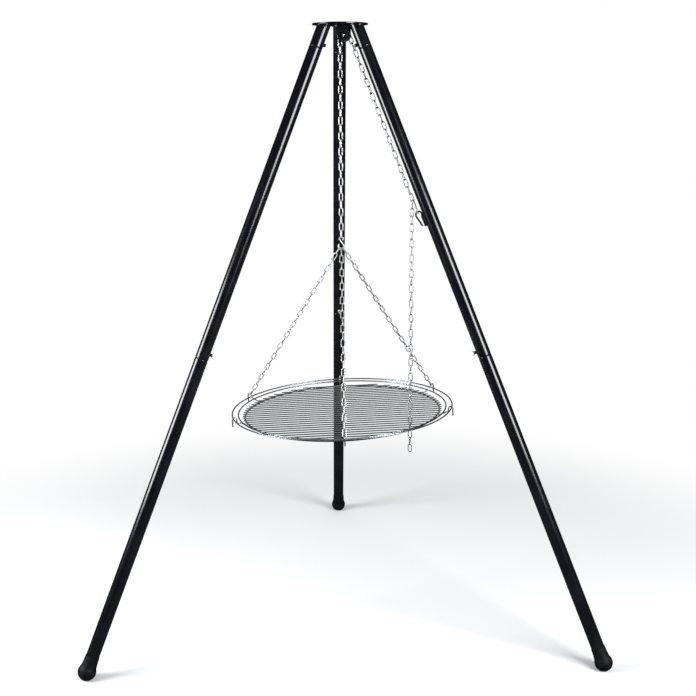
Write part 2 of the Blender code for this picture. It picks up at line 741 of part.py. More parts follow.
def pull_geometry():
    """Ends of the pull chain, of the long link over the leg hook and of the tail.

    The long link and the tail share the pull chain's last link: their bars lie side by
    side on the two slopes of its inner end."""
    _, start = right_link_ends()
    _, outward = leaving_axes()
    along = (hook_arch_centre() - start).normalized()
    wide = (outward - along * outward.dot(along)).normalized()
    normal = along.cross(wide)
    bend = leg_hook_bend()
    contact = (-along + bend[1].cross(bend[2]) * along.dot(bend[1].cross(bend[2]))).normalized()
    lower = seat_in_bend(bend, contact, -along, normal)
    upper = lower - along * HOOK_LINK_PITCH
    level = Vector((normal.x, normal.y, 0)).normalized()
    lean = along.angle(-Z_AXIS)
    tail_half = WIRE_HALF * (cos(lean) + sin(lean))
    hook_shift = tail_half + GAP / 2
    tail_shift = WIRE_HALF + GAP / 2
    hook_depth = hook_shift + GAP * sqrt(2)
    join = upper - wide * hook_shift + along * hook_depth
    reach = WIRE_HALF * (cos(pi / 4 - lean) + sin(pi / 4 - lean)) + GAP
    tail_depth = reach * sqrt(2) + tail_shift - WIRE_HALF
    tail_bar = join - wide * tail_shift - along * tail_depth
    tail_top = tail_bar - Z_AXIS * WIRE_HALF
    return start - along * LEAN_PLAY, join, upper, lower, tail_top, wide, normal, level


def build_pull_chain():
    start, join, upper, lower, tail_top, wide, normal, level = pull_geometry()
    chain_object("pull_chain", start, join, whole_links((join - start).length, True), wide)
    chain_object("hook_link", upper, lower, 1, normal)
    tail_end = tail_top - Z_AXIS * (LINK_PITCH * TAIL_LINKS)
    chain_object("tail_chain", tail_top, tail_end, TAIL_LINKS, level)
    last = tail_end + Z_AXIS * GAP
    chain_object("tail_end_link", last, last - Z_AXIS * LINK_PITCH, 1, Z_AXIS.cross(level))


# Load chain, S-hook and hanging grate


def load_levels():
    """Heights of the joints down the load chain, from the sheave to the S-hook."""
    top = left_link_ends()[1].z + GAP
    first_end = top - LINK_PITCH
    run_top = first_end + GAP
    run_end = run_top - LINK_PITCH * (LOAD_LINKS - 2)
    last_top = run_end + GAP
    return top, first_end, run_top, run_end, last_top, last_top - LINK_PITCH


def axis_at(height):
    return Vector((0, AXIS_Y, height))


def build_load_chain():
    across, side = pulley_axes()
    top, first_end, run_top, run_end, last_top, last_end = load_levels()
    chain_object("load_link_top", axis_at(top), axis_at(first_end), 1, across)
    chain_object("load_chain", axis_at(run_top), axis_at(run_end), LOAD_LINKS - 2, side)
    chain_object("load_link_bottom", axis_at(last_top), axis_at(last_end), 1, side)


def s_hook_centres():
    bend = (Vector(), X_AXIS, Z_AXIS, S_HOOK_TOP_RADIUS, S_HOOK_WIRE)
    lift = seat_in_bend(bend, Z_AXIS, Z_AXIS, pulley_axes()[1]).z
    top = load_levels()[5] - lift
    return axis_at(top), axis_at(top - S_HOOK_CENTRES)


def build_s_hook():
    """Two bends joined by their crossing tangent, tips on opposite sides."""
    upper, lower = s_hook_centres()
    cross = asin((S_HOOK_TOP_RADIUS + S_HOOK_BOTTOM_RADIUS) / S_HOOK_CENTRES)
    lean = radians(S_HOOK_TIP_LEAN)
    top_arc = arc(S_HOOK_TOP_RADIUS, -radians(S_HOOK_TOP_OPENING), pi + cross, HOOK_ARC_STEPS)
    bottom_arc = arc(S_HOOK_BOTTOM_RADIUS, cross, -pi - lean, HOOK_ARC_STEPS)
    points = [Vector((x, 0, z)) for x, z in top_arc]
    points += [Vector((x, 0, z - S_HOOK_CENTRES)) for x, z in bottom_arc]
    points.append(points[-1] + Vector((sin(lean), 0, cos(lean))) * S_HOOK_TIP)
    points.insert(0, points[0] - Vector((0, 0, S_HOOK_TIP / 2)))
    rod("s_hook", points, S_HOOK_WIRE, 1, "zinc", origin=upper)


def grate_matrix():
    return Matrix.Translation((0, AXIS_Y, GRATE_HEIGHT)) @ Matrix.Rotation(radians(-GRATE_TILT), 4, "Y")


def build_rings(carrier):
    rim_levels = (
        ("edge_ring", EDGE_RING_RADIUS, EDGE_WIRE, 0.0),
        ("rim_ring_middle", MIDDLE_RING_RADIUS, RIM_WIRE, middle_ring_level()),
        ("rim_ring_top", TOP_RING_RADIUS, RIM_WIRE, TOP_RING_RISE),
    )
    for name, radius, wire, level in rim_levels:
        section = arc(wire / 2, pi / 2, pi / 2 + 2 * pi, RING_SIDES)[:-1]
        profile = [(radius + x, level + z) for x, z in section]
        mesh_object(name, revolve(profile, RING_SEGMENTS, True), "wire", carrier)


def build_grate_bars(carrier):
    """Parallel bars laid on the edge ring, with one cross bar welded underneath."""
    level = EDGE_WIRE / 2 + GAP + BAR_WIRE / 2
    side_count = int((EDGE_RING_RADIUS - BAR_MARGIN) / BAR_PITCH)
    shape = bmesh.new()
    for i in range(-side_count, side_count + 1):
        offset = i * BAR_PITCH
        half = sqrt((EDGE_RING_RADIUS + BAR_OVERHANG) ** 2 - offset ** 2)
        turn = Matrix.Translation((0, offset, level)) @ Matrix.Rotation(pi / 2, 4, "Y")
        bmesh.ops.create_cone(
            shape, cap_ends=True, segments=RING_SIDES, radius1=BAR_WIRE / 2,
            radius2=BAR_WIRE / 2, depth=2 * half, matrix=turn,
        )
    bars = mesh_object("grate_bars", shape, "wire", carrier)
    inside = (EDGE_RING_RADIUS - EDGE_WIRE / 2) * cos(pi / RING_SEGMENTS) - GAP
    low = level - BAR_WIRE / 2 - CROSS_BAR_WIRE / 2 + WELD_DEPTH
    turn = Matrix.Translation((0, 0, low)) @ Matrix.Rotation(pi / 2, 4, "X")
    rod_shape = cylinder(CROSS_BAR_WIRE / 2, 2 * inside, CROSS_BAR_SIDES, turn)
    cross_bar = mesh_object("cross_bar", rod_shape, "wire", carrier)
    combine(bars, cross_bar, "UNION")


def upright_geometry():
    """Foot, knee and arch middle of an upright, as (radius, level) in the grate frame.

    The foot butts against the edge ring, a little below the line to the ring's middle."""
    wall = TOP_RING_RADIUS - RIM_WIRE / 2 - GAP - UPRIGHT_WIRE / 2
    arch = (wall + ARCH_RADIUS, TOP_RING_RISE + ARCH_RISE)
    knee = (wall, arch[1] - UPRIGHT_KNEE_DROP)
    run = knee[0] - EDGE_RING_RADIUS
    slant = atan2(knee[1], run) + asin(UPRIGHT_FOOT_SET / hypot(run, knee[1]))
    reach = EDGE_WIRE / 2 + GAP
    foot = (
        EDGE_RING_RADIUS + reach * cos(slant) + UPRIGHT_FOOT_SET * sin(slant),
        reach * sin(slant) - UPRIGHT_FOOT_SET * cos(slant),
    )
    return foot, knee, arch


def middle_ring_level():
    """Height at which the middle ring rests on the slanting uprights."""
    foot, knee, _ = upright_geometry()
    slope = (knee[1] - foot[1]) / (knee[0] - foot[0])
    lift = (RIM_WIRE / 2 + UPRIGHT_WIRE / 2 + GAP) * sqrt(1 + slope ** 2)
    return foot[1] + slope * (MIDDLE_RING_RADIUS - foot[0]) + lift


def build_uprights(carrier):
    """Wire uprights: up the outside of the rings, over in an arch and down to a pin."""
    foot, knee, arch = upright_geometry()
    bend = arc(ARCH_RADIUS, pi, 0, ARCH_STEPS)
    outline = [foot, knee] + [(arch[0] + x, arch[1] + z) for x, z in bend]
    outline.append((arch[0] + ARCH_RADIUS, arch[1] - ARCH_TIP))
    for kind, azimuths in (("upright_chain_", CHAIN_UPRIGHTS), ("upright_", PLAIN_UPRIGHTS)):
        for side, azimuth in azimuths.items():
            angle = radians(azimuth)
            points = [Vector((r * cos(angle), r * sin(angle), z)) for r, z in outline]
            rod(kind + side, points, UPRIGHT_WIRE, 1, "wire", carrier)


def build_sub_chains():
    """Three chains spread from the S-hook's lower bend to the chain uprights."""
    _, bend_centre = s_hook_centres()
    _, _, arch = upright_geometry()
    matrix = grate_matrix()
    seats = {"left": -SUB_CHAIN_SPREAD, "front": 0, "right": SUB_CHAIN_SPREAD}
    for side, azimuth in CHAIN_UPRIGHTS.items():
        angle = radians(azimuth)
        arch_centre = matrix @ Vector((arch[0] * cos(angle), arch[0] * sin(angle), arch[1]))
        along = (arch_centre - bend_centre).normalized()
        turn = radians(seats[side])
        radial = Vector((sin(turn), 0, -cos(turn)))
        tangent = Vector((cos(turn), 0, sin(turn)))
        ring_tangent = matrix.to_3x3() @ Vector((-sin(angle), cos(angle), 0))
        upper_normal = (tangent - along * tangent.dot(along)).normalized()
        lower_normal = along.cross(ring_tangent).normalized()
        if side == "front":
            normal = upper_normal
            lower_wide = ring_tangent
        else:
            if upper_normal.dot(lower_normal) < 0:
                lower_normal = -lower_normal
            normal = (upper_normal + lower_normal).normalized()
            lower_wide = normal.cross(along)
        upper_bend = (bend_centre, X_AXIS, Z_AXIS, S_HOOK_BOTTOM_RADIUS, S_HOOK_WIRE)
        start = seat_in_bend(upper_bend, radial, along, normal.cross(along))
        outward = matrix.to_3x3() @ Vector((cos(angle), sin(angle), 0))
        grate_up = matrix.to_3x3() @ Z_AXIS
        lower_bend = (arch_centre, outward, grate_up, ARCH_RADIUS, UPRIGHT_WIRE)
        end = seat_in_bend(lower_bend, -along, -along, lower_wide)
        links = whole_links((end - start).length, side != "front")
        chain_object("sub_chain_" + side, start, end, links, normal.cross(along), bend_centre)


def build_grate():
    carrier = frame("grate_frame", grate_matrix())
    build_rings(carrier)
    build_grate_bars(carrier)
    build_uprights(carrier)


def build():
    clear_scene()
    build_head_plate()
    build_legs()
    build_pulley()
    build_pull_chain()
    build_load_chain()
    build_s_hook()
    build_sub_chains()
    build_grate()
    bpy.context.view_layer.update()


build()
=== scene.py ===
"""Dressed model of the tripod swing grill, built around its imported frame.
Metres, +Z up, feet on z = 0."""
from math import asin, atan2, cos, pi, radians, sin, sqrt, tan

import bmesh
import bpy
from mathutils import Matrix, Vector


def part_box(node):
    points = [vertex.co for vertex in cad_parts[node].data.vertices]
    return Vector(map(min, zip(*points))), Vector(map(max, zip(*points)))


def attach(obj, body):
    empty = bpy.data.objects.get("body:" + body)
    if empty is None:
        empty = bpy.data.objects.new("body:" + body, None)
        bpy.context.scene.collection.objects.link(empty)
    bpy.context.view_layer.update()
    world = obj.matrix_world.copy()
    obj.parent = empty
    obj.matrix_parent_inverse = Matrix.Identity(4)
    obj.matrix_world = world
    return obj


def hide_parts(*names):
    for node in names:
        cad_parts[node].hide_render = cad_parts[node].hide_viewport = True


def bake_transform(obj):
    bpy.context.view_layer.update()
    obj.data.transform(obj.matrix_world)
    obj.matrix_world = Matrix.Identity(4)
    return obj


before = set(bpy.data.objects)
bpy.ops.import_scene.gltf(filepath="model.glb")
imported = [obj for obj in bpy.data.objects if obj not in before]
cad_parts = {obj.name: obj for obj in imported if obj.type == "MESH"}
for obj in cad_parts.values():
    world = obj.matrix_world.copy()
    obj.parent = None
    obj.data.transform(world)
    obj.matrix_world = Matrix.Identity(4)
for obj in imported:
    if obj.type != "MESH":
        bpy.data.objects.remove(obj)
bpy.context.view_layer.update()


# Studio: a pale floor that keeps the shadow and fades into a white backdrop, a softbox on
# either side, and the camera at the photograph's angle. Dark cards all round and one on the
# floor show in reflections alone, and give the gloss tubes and the wire their dark parts.

WHITE = (1, 1, 1, 1)
BACKDROP_FILL = 0.37
FLOOR_COLOUR = (0.90, 0.90, 0.90, 1)
FLOOR_HALF = 40
FLOOR_FADE = (0.95, 2.1)
CARD_COLOUR = (0.012, 0.013, 0.017, 1)
CARD_DISTANCE = 5.0
CARD_TOP = 8.0
CARD_TURNS = range(-270, 91, 30)
DARK_FLOOR_COLOUR = (0.06, 0.06, 0.07, 1)
DARK_FLOOR_LEVEL = 0.002
SOFTBOXES = {  # place, width, height, watts
    "left": ((-2.4, -0.90, 1.45), 1.20, 1.1, 78),
    "right": ((2.4, -2.80, 2.15), 1.80, 1.6, 165),
}
SOFTBOX_COLOUR = (0.93, 0.96, 1.0)
SOFTBOX_AIM_HEIGHT = 1.05
CAMERA_SPOT = (-0.06580, -3.42069, 1.58903)
CAMERA_YAW = 0.02625
CAMERA_PITCH = 0.22568
CAMERA_ROLL = 0.00463
LENS = 56.01
SENSOR = 36

plate_low, plate_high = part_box("head_plate")
AXIS_Y = (plate_low.y + plate_high.y) / 2


class Value:
    """A shader output that takes part in Python arithmetic through Math nodes."""

    def __init__(self, sheet, socket):
        self.sheet = sheet
        self.socket = socket

    def math(self, operation, *terms):
        return self.sheet.node("ShaderNodeMath", {"operation": operation}, dict(enumerate(terms)))

    def __add__(self, other):
        return self.math("ADD", self, other)

    def __radd__(self, other):
        return self.math("ADD", other, self)

    def __sub__(self, other):
        return self.math("SUBTRACT", self, other)

    def __rsub__(self, other):
        return self.math("SUBTRACT", other, self)

    def __mul__(self, other):
        return self.math("MULTIPLY", self, other)

    def __rmul__(self, other):
        return self.math("MULTIPLY", other, self)

    def __pow__(self, other):
        return self.math("POWER", self, other)

    def largest(self, other):
        return self.math("MAXIMUM", self, other)

    def smooth(self, low, high):
        """0 below low, 1 above high, smooth between them."""
        return self.sheet.node(
            "ShaderNodeMapRange", {"interpolation_type": "SMOOTHSTEP"},
            {"Value": self, "From Min": low, "From Max": high},
        )


class Sheet:
    """The node tree of a finish or of the backdrop."""

    def __init__(self, tree):
        self.tree = tree
        tree.nodes.clear()

    def node(self, kind, settings=None, sockets=None, output=0):
        made = self.tree.nodes.new(kind)
        for name, value in (settings or {}).items():
            setattr(made, name, value)
        for name, value in (sockets or {}).items():
            if isinstance(value, Value):
                self.tree.links.new(value.socket, made.inputs[name])
            else:
                made.inputs[name].default_value = value
        return Value(self, made.outputs[output]) if made.outputs else made

    def seen_directly(self):
        """1 for rays from the camera and for those that metal and glass reflect or pass."""
        kinds = ("Is Camera Ray", "Is Glossy Ray", "Is Transmission Ray")
        camera, glossy, passed = [self.node("ShaderNodeLightPath", output=kind) for kind in kinds]
        return camera.largest(glossy).largest(passed)

    def mix(self, share, first, second):
        """Colour between two colours."""
        return self.node("ShaderNodeMix", {"data_type": "RGBA"}, {0: share, 6: first, 7: second}, 2)


def new_material(name):
    material = bpy.data.materials.new(name)
    material.use_nodes = True
    return material, Sheet(material.node_tree)


def put_in_scene(name, data):
    item = bpy.data.objects.new(name, data)
    bpy.context.scene.collection.objects.link(item)
    return item


def flat_sheet(name, corners, material):
    """One staged face of the studio."""
    data = bpy.data.meshes.new(name)
    data.from_pydata(corners, [], [(0, 1, 2, 3)])
    data.materials.append(material)
    item = put_in_scene(name, data)
    return item


def square(half, level):
    """Corners of a level square round the origin."""
    return [(x * half, y * half, level) for x, y in ((-1, -1), (1, -1), (1, 1), (-1, 1))]


def card_in_reflections(name, corners, colour):
    """A dark staged card that only shows in what the object reflects."""
    material, sheet = new_material(name)
    sheet.node("ShaderNodeOutputMaterial", None, {
        "Surface": sheet.node("ShaderNodeBsdfDiffuse", None, {"Color": colour})})
    card = flat_sheet(name, corners, material)
    card.visible_camera = False
    card.visible_diffuse = False
    card.visible_shadow = False


world = bpy.data.worlds.new("studio_backdrop")
bpy.context.scene.world = world
world.use_nodes = True
sheet = Sheet(world.node_tree)
level = BACKDROP_FILL + (1 - BACKDROP_FILL) * sheet.seen_directly()
light = sheet.node("ShaderNodeBackground", None, {"Color": WHITE, "Strength": level})
sheet.node("ShaderNodeOutputWorld", None, {"Surface": light})

floor_material, sheet = new_material("studio_floor")
spot = sheet.node("ShaderNodeTexCoord", output="Object")
across, along = [sheet.node("ShaderNodeSeparateXYZ", None, {"Vector": spot}, axis) for axis in "XY"]
distance = (across * across + (along - AXIS_Y) * (along - AXIS_Y)) ** 0.5
surface = sheet.node("ShaderNodeMixShader", None, {
    0: distance.smooth(*FLOOR_FADE) * sheet.seen_directly(),
    1: sheet.node("ShaderNodeBsdfDiffuse", None, {"Color": FLOOR_COLOUR}),
    2: sheet.node("ShaderNodeEmission", None, {"Color": WHITE, "Strength": 1.0}),
})
sheet.node("ShaderNodeOutputMaterial", None, {"Surface": surface})
flat_sheet("studio_floor", square(FLOOR_HALF, 0), floor_material)

for number, turns in enumerate(zip(CARD_TURNS, CARD_TURNS[1:])):
    start, end = [(CARD_DISTANCE * cos(radians(turn)), CARD_DISTANCE * sin(radians(turn)))
                  for turn in turns]
    corners = [(*start, 0.0), (*end, 0.0), (*end, CARD_TOP), (*start, CARD_TOP)]
    card_in_reflections("studio_card_%d" % number, corners, CARD_COLOUR)
card_in_reflections("studio_dark_floor", square(CARD_DISTANCE, DARK_FLOOR_LEVEL), DARK_FLOOR_COLOUR)

for side, (spot, width, height, power) in SOFTBOXES.items():
    data = bpy.data.lights.new("softbox_" + side, "AREA")
    data.shape = "RECTANGLE"
    data.size = width
    data.size_y = height
    data.energy = power
    data.color = SOFTBOX_COLOUR
    lamp = put_in_scene("softbox_" + side, data)
    lamp.location = spot
    aim = Vector((0, AXIS_Y, SOFTBOX_AIM_HEIGHT)) - Vector(spot)
    lamp.rotation_euler = aim.to_track_quat("-Z", "Y").to_euler()
    lamp.visible_camera = False

camera_data = bpy.data.cameras.new("camera")
camera_data.lens = LENS
camera_data.sensor_width = SENSOR
camera = put_in_scene("camera", camera_data)
camera.matrix_world = (
    Matrix.Translation(CAMERA_SPOT) @ Matrix.Rotation(-CAMERA_YAW, 4, "Z")
    @ Matrix.Rotation(pi / 2 - CAMERA_PITCH, 4, "X") @ Matrix.Rotation(-CAMERA_ROLL, 4, "Z")
)
bpy.context.scene.camera = camera
bpy.context.scene.view_settings.view_transform = "Standard"


# Head plate: a round steel disc, punched, with its edge rounded over and sprayed gloss
# black. The three stubs and the pulley bracket are welded to its underside.

Z_AXIS = Vector((0, 0, 1))
HEIGHT = plate_high.z
PLATE_RADIUS = (plate_high.x - plate_low.x) / 2
PLATE_THICKNESS = 0.004
PLATE_EDGE = 0.0009
PLATE_SEGMENTS = 96
EDGE_STEPS = 5
SUPPORT = 0.0012  # ring beside an edge that keeps the flat or straight face next to it plain
SMOOTH_ANGLE = radians(40)
MERGE_DISTANCE = 1e-6
EVEN = (1, 1, 1)
PAINT_COLOUR = (0.0030, 0.0034, 0.0056, 1)
PAINT_DUSTY = (0.006, 0.0065, 0.009, 1)
PAINT_ROUGHNESS = 0.15
PAINT_IOR = 1.50
PAINT_BUMP = (0.03, 0.0003)  # strength, depth in metres
PEEL = (420, 1.0)  # scale and detail of the noise
HAZE = (16, 3.0)
HAZE_SPAN = (0.40, 0.75)
HAZE_ROUGHNESS = 0.07
NIBS = (1500, 0.0)
NIB_SPAN = (0.74, 0.80)
NIB_ROUGHNESS = 0.08
NIB_HEIGHT = 0.5


def place(name, shape, material, matrix=None):
    """Turn a finished bmesh into an object with its finish, smooth but for its corners."""
    bmesh.ops.recalc_face_normals(shape, faces=shape.faces)
    data = bpy.data.meshes.new(name)
    shape.to_mesh(data)
    shape.free()
    data.shade_smooth()
    data.set_sharp_from_angle(angle=SMOOTH_ANGLE)
    data.materials.append(material)
    item = put_in_scene(name, data)
    item.matrix_world = matrix or Matrix()
    return item


def stand_for(piece, node, body):
    """The piece rides on its body and hides the CAD solid."""
    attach(piece, body)
    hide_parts(node)


def arc(radius, start, end, steps, centre=(0, 0)):
    """Points of an arc in a plane, angles in radians."""
    turn = (end - start) / steps
    return [(centre[0] + radius * cos(start + turn * i), centre[1] + radius * sin(start + turn * i))
            for i in range(steps + 1)]


def revolve(profile, segments, closed=False):
    """Spin (radius, height) points about Z. A closed profile is a ring's section."""
    shape = bmesh.new()
    points = [shape.verts.new((radius, 0, height)) for radius, height in profile]
    edges = [shape.edges.new(pair) for pair in zip(points, points[1:])]
    if closed:
        edges.append(shape.edges.new((points[-1], points[0])))
    bmesh.ops.spin(shape, geom=points + edges, axis=Z_AXIS, cent=(0, 0, 0), angle=2 * pi,
                   steps=segments, use_merge=True)
    bmesh.ops.remove_doubles(shape, verts=shape.verts, dist=MERGE_DISTANCE)
    return shape


def shade(sheet, sockets):
    """Close a finish with its shader."""
    surface = sheet.node("ShaderNodeBsdfPrincipled", None, sockets)
    sheet.node("ShaderNodeOutputMaterial", None, {"Surface": surface})


def noise(sheet, scale, detail, stretch=EVEN):
    """Even noise from 0 to 1 in the piece's own place, stretched along its axes."""
    place_of = sheet.node("ShaderNodeTexCoord", output="Object")
    scaled = sheet.node("ShaderNodeVectorMath", {"operation": "MULTIPLY"}, {0: place_of, 1: stretch})
    return sheet.node("ShaderNodeTexNoise", None, {"Vector": scaled, "Scale": scale, "Detail": detail})


def bump(sheet, height, strength, depth):
    """Relief of a surface, depth in metres."""
    return sheet.node("ShaderNodeBump", None, {"Height": height, "Strength": strength, "Distance": depth})


def gloss_paint(name, colour, dusty):
    """Sprayed gloss black: orange peel, a faint haze that varies, and fine dust nibs."""
    material, sheet = new_material(name)
    peel = noise(sheet, *PEEL)
    haze = noise(sheet, *HAZE)
    nibs = noise(sheet, *NIBS).smooth(*NIB_SPAN)
    shade(sheet, {
        "Base Color": sheet.mix(haze.smooth(*HAZE_SPAN), colour, dusty),
        "Roughness": PAINT_ROUGHNESS + haze * HAZE_ROUGHNESS + nibs * NIB_ROUGHNESS,
        "Normal": bump(sheet, peel + nibs * NIB_HEIGHT, *PAINT_BUMP),
        "IOR": PAINT_IOR,
    })
    return material


PAINT = gloss_paint("gloss_black_paint", PAINT_COLOUR, PAINT_DUSTY)

rim = PLATE_RADIUS - PLATE_EDGE
profile = [(0, 0), (rim - SUPPORT, 0)]
profile += arc(PLATE_EDGE, pi / 2, 0, EDGE_STEPS, (rim, -PLATE_EDGE))
profile += arc(PLATE_EDGE, 0, -pi / 2, EDGE_STEPS, (rim, PLATE_EDGE - PLATE_THICKNESS))
profile += [(rim - SUPPORT, -PLATE_THICKNESS), (0, -PLATE_THICKNESS)]
plate_place = Matrix.Translation((0, AXIS_Y, HEIGHT))
plate = place("head_disc", revolve(profile, PLATE_SEGMENTS), PAINT, plate_place)
stand_for(plate, "head_plate", "head")


# Legs: each of a short stub under the plate, an upper and a lower tube, all of 38 mm steel
# tube painted gloss black. A tube's upper end is swaged down and plugs into the piece above
# it, so that its rolled shoulder shows as a thin ring at the joint.

LEG_AZIMUTHS = {"left": 210, "right": 330, "back": 90}
UPPER_BODIES = {"left": "upper_leg_left", "right": "head", "back": "upper_leg_back"}
LEG_TOP_RADIUS = 0.0505
FOOT_CIRCLE_RADIUS = 0.855
LEG_SPLAY = atan2(FOOT_CIRCLE_RADIUS - LEG_TOP_RADIUS, HEIGHT)
FOOT_BALL_HEIGHT = 0.0225
FOOT_DISTANCE = (HEIGHT - FOOT_BALL_HEIGHT) / cos(LEG_SPLAY)
FOOT_FLOOR = 0.004
STUB_LENGTH = 0.075
UPPER_TUBE_END = 1.010
GAP = 0.0003
TUBE_RADIUS = 0.019
TUBE_WALL = 0.0015
TUBE_BORE = TUBE_RADIUS - TUBE_WALL
TUBE_SEGMENTS = 64
SPIGOT_RADIUS = TUBE_BORE - GAP
SPIGOT_BORE = SPIGOT_RADIUS - TUBE_WALL
SPIGOT_LENGTH = 0.060
SPIGOT_EDGE = 0.0003
SHOULDER = 0.0026
SWAGE_LENGTH = 0.006
SLEEVE_EDGE = 0.0016
SLEEVE_ROUND = SLEEVE_EDGE * 0.3
STUB_BEAD = 0.0016
STUB_BEAD_CIRCLE = TUBE_RADIUS * 1.04
STUB_BEAD_DROP = 0.0008
STUB_BEAD_POINTS = 144
BEAD_SIDES = 8
BEAD_SWELL = 0.09
BEAD_RIPPLE = 0.0022
LEAST_RIPPLES = 3
DOME_LIFT = 0.8
ROD_DOME = ((0.98, 0.35), (0.80, 0.72), (0.42, 0.95))  # share of the radius, height in radii


def leg_place(azimuth):
    """Leg frame: +Z up along the leg, +X towards the tripod's middle, origin on top."""
    angle = radians(azimuth)
    outward = Vector((cos(angle), sin(angle), 0))
    along = -outward * sin(LEG_SPLAY) + Z_AXIS * cos(LEG_SPLAY)
    inward = -outward * cos(LEG_SPLAY) - Z_AXIS * sin(LEG_SPLAY)
    matrix = Matrix((inward, along.cross(inward), along)).transposed().to_4x4()
    matrix.translation = outward * LEG_TOP_RADIUS + Vector((0, AXIS_Y, HEIGHT))
    return matrix


def plate_seat(x):
    """Height in the leg frame at which the plate's underside crosses the line at x."""
    return (-PLATE_THICKNESS - GAP + x * sin(LEG_SPLAY)) / cos(LEG_SPLAY)


def sleeve_mouth(end):
    """Outside of a tube's lower end, whose edge is rounded over."""
    return [
        (TUBE_RADIUS, -end + SLEEVE_EDGE + SUPPORT), (TUBE_RADIUS, -end + SLEEVE_EDGE),
        (TUBE_RADIUS - SLEEVE_ROUND, -end + SLEEVE_ROUND),
        (TUBE_RADIUS - SLEEVE_EDGE, -end), (TUBE_BORE, -end),
    ]


def plug_tube(start, end):
    """Swaged tube: spigot, rolled shoulder, body and lower end."""
    shoulder = start + GAP
    tip = shoulder - SPIGOT_LENGTH
    profile = [(SPIGOT_RADIUS - SPIGOT_EDGE, -tip), (SPIGOT_RADIUS, -tip - SPIGOT_EDGE)]
    profile += [(SPIGOT_RADIUS, -shoulder)]
    profile += arc(SHOULDER, pi / 2, 0, EDGE_STEPS, (TUBE_RADIUS - SHOULDER, -shoulder - SHOULDER))
    profile += [(TUBE_RADIUS, -shoulder - SHOULDER - SUPPORT)] + sleeve_mouth(end)
    profile += [(TUBE_BORE, -shoulder - 2 * SWAGE_LENGTH), (SPIGOT_BORE, -shoulder - SWAGE_LENGTH)]
    profile += [(SPIGOT_BORE, -tip)]
    return revolve(profile, TUBE_SEGMENTS, True)


def circle(radius, count):
    """Points of a full circle in a plane."""
    return [(radius * cos(2 * pi * i / count), radius * sin(2 * pi * i / count)) for i in range(count)]


def skin(shape, rings, closed):
    """Faces between neighbouring rings of points. Open runs are shut at both ends."""
    next_rings = rings[1:] + rings[:1] if closed else rings[1:]
    for lower, upper in zip(rings, next_rings):
        for k in range(len(lower)):
            following = (k + 1) % len(lower)
            shape.faces.new((lower[k], lower[following], upper[following], upper[k]))
    if not closed:
        for ring in (rings[0], rings[-1]):
            shape.faces.new(ring)


def tube_along(shape, points, radius, sides, closed=False, swell=None, first=None):
    """Add a round rod along points. Open rods end in small domes.

    swell gives each point its own thickness, and first is the side the seam starts on."""
    count = len(points)
    points = [Vector(point) for point in points]
    tangents = []
    for i in range(count):
        before = points[i - 1] if i or closed else points[0]
        after = points[(i + 1) % count] if i < count - 1 or closed else points[-1]
        tangents.append((after - before).normalized())
    side = first or tangents[0].orthogonal()
    stations = []
    for i, tangent in enumerate(tangents):
        side = (side - tangent * side.dot(tangent)).normalized()
        stations.append((points[i], tangent, side, swell[i] if swell else 1))
    if not closed:
        point, tangent, side, _ = stations[0]
        start = [(point - tangent * radius * lift * DOME_LIFT, tangent, side, share)
                 for share, lift in reversed(ROD_DOME)]
        point, tangent, side, _ = stations[-1]
        end = [(point + tangent * radius * lift * DOME_LIFT, tangent, side, share)
               for share, lift in ROD_DOME]
        stations = start + stations + end
    rings = []
    for point, tangent, side, share in stations:
        other = tangent.cross(side)
        rings.append([shape.verts.new(point + (side * x + other * y) * radius * share)
                      for x, y in circle(1, sides)])
    skin(shape, rings, closed)
    return shape


def beside(piece, body):
    """A detail such as a weld, which rides on the body of the solid that it is on."""
    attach(piece, body)


def weld_bead(name, path, radius, matrix, body, closed=True, ripple=BEAD_RIPPLE):
    """A hand-laid weld: a low painted rod along the joint whose thickness ripples."""
    length = sum((Vector(b) - Vector(a)).length for a, b in zip(path, path[1:]))
    waves = max(LEAST_RIPPLES, round(length / ripple))
    swell = [1 + BEAD_SWELL * cos(2 * pi * waves * i / len(path)) for i in range(len(path))]
    shape = tube_along(bmesh.new(), path, radius, BEAD_SIDES, closed, swell)
    beside(place(name, shape, PAINT, matrix), body)


for side, azimuth in LEG_AZIMUTHS.items():
    matrix = leg_place(azimuth)
    profile = [(TUBE_RADIUS, 0)] + sleeve_mouth(STUB_LENGTH) + [(TUBE_BORE, 0)]
    shape = revolve(profile, TUBE_SEGMENTS, True)
    for corner in shape.verts:
        if corner.co.z > -STUB_LENGTH / 2:
            corner.co.z = plate_seat(corner.co.x)
    stand_for(place("stub_sleeve_" + side, shape, PAINT, matrix), "stub_" + side, "head")
    bead = [(x, y, plate_seat(x) - STUB_BEAD_DROP) for x, y in circle(STUB_BEAD_CIRCLE, STUB_BEAD_POINTS)]
    weld_bead("weld_stub_" + side, bead, STUB_BEAD, matrix, "head")
    upper = place("upper_leg_tube_" + side, plug_tube(STUB_LENGTH, UPPER_TUBE_END), PAINT, matrix)
    stand_for(upper, "upper_tube_" + side, UPPER_BODIES[side])
    lower = place("lower_leg_tube_" + side,
                  plug_tube(UPPER_TUBE_END, FOOT_DISTANCE - FOOT_FLOOR - GAP), PAINT, matrix)
    stand_for(lower, "lower_tube_" + side, "lower_leg_" + side)


# Feet: moulded black rubber caps pushed over the tube ends, swelling from a thin mouth to a
# ball, and cut flat where they stand.

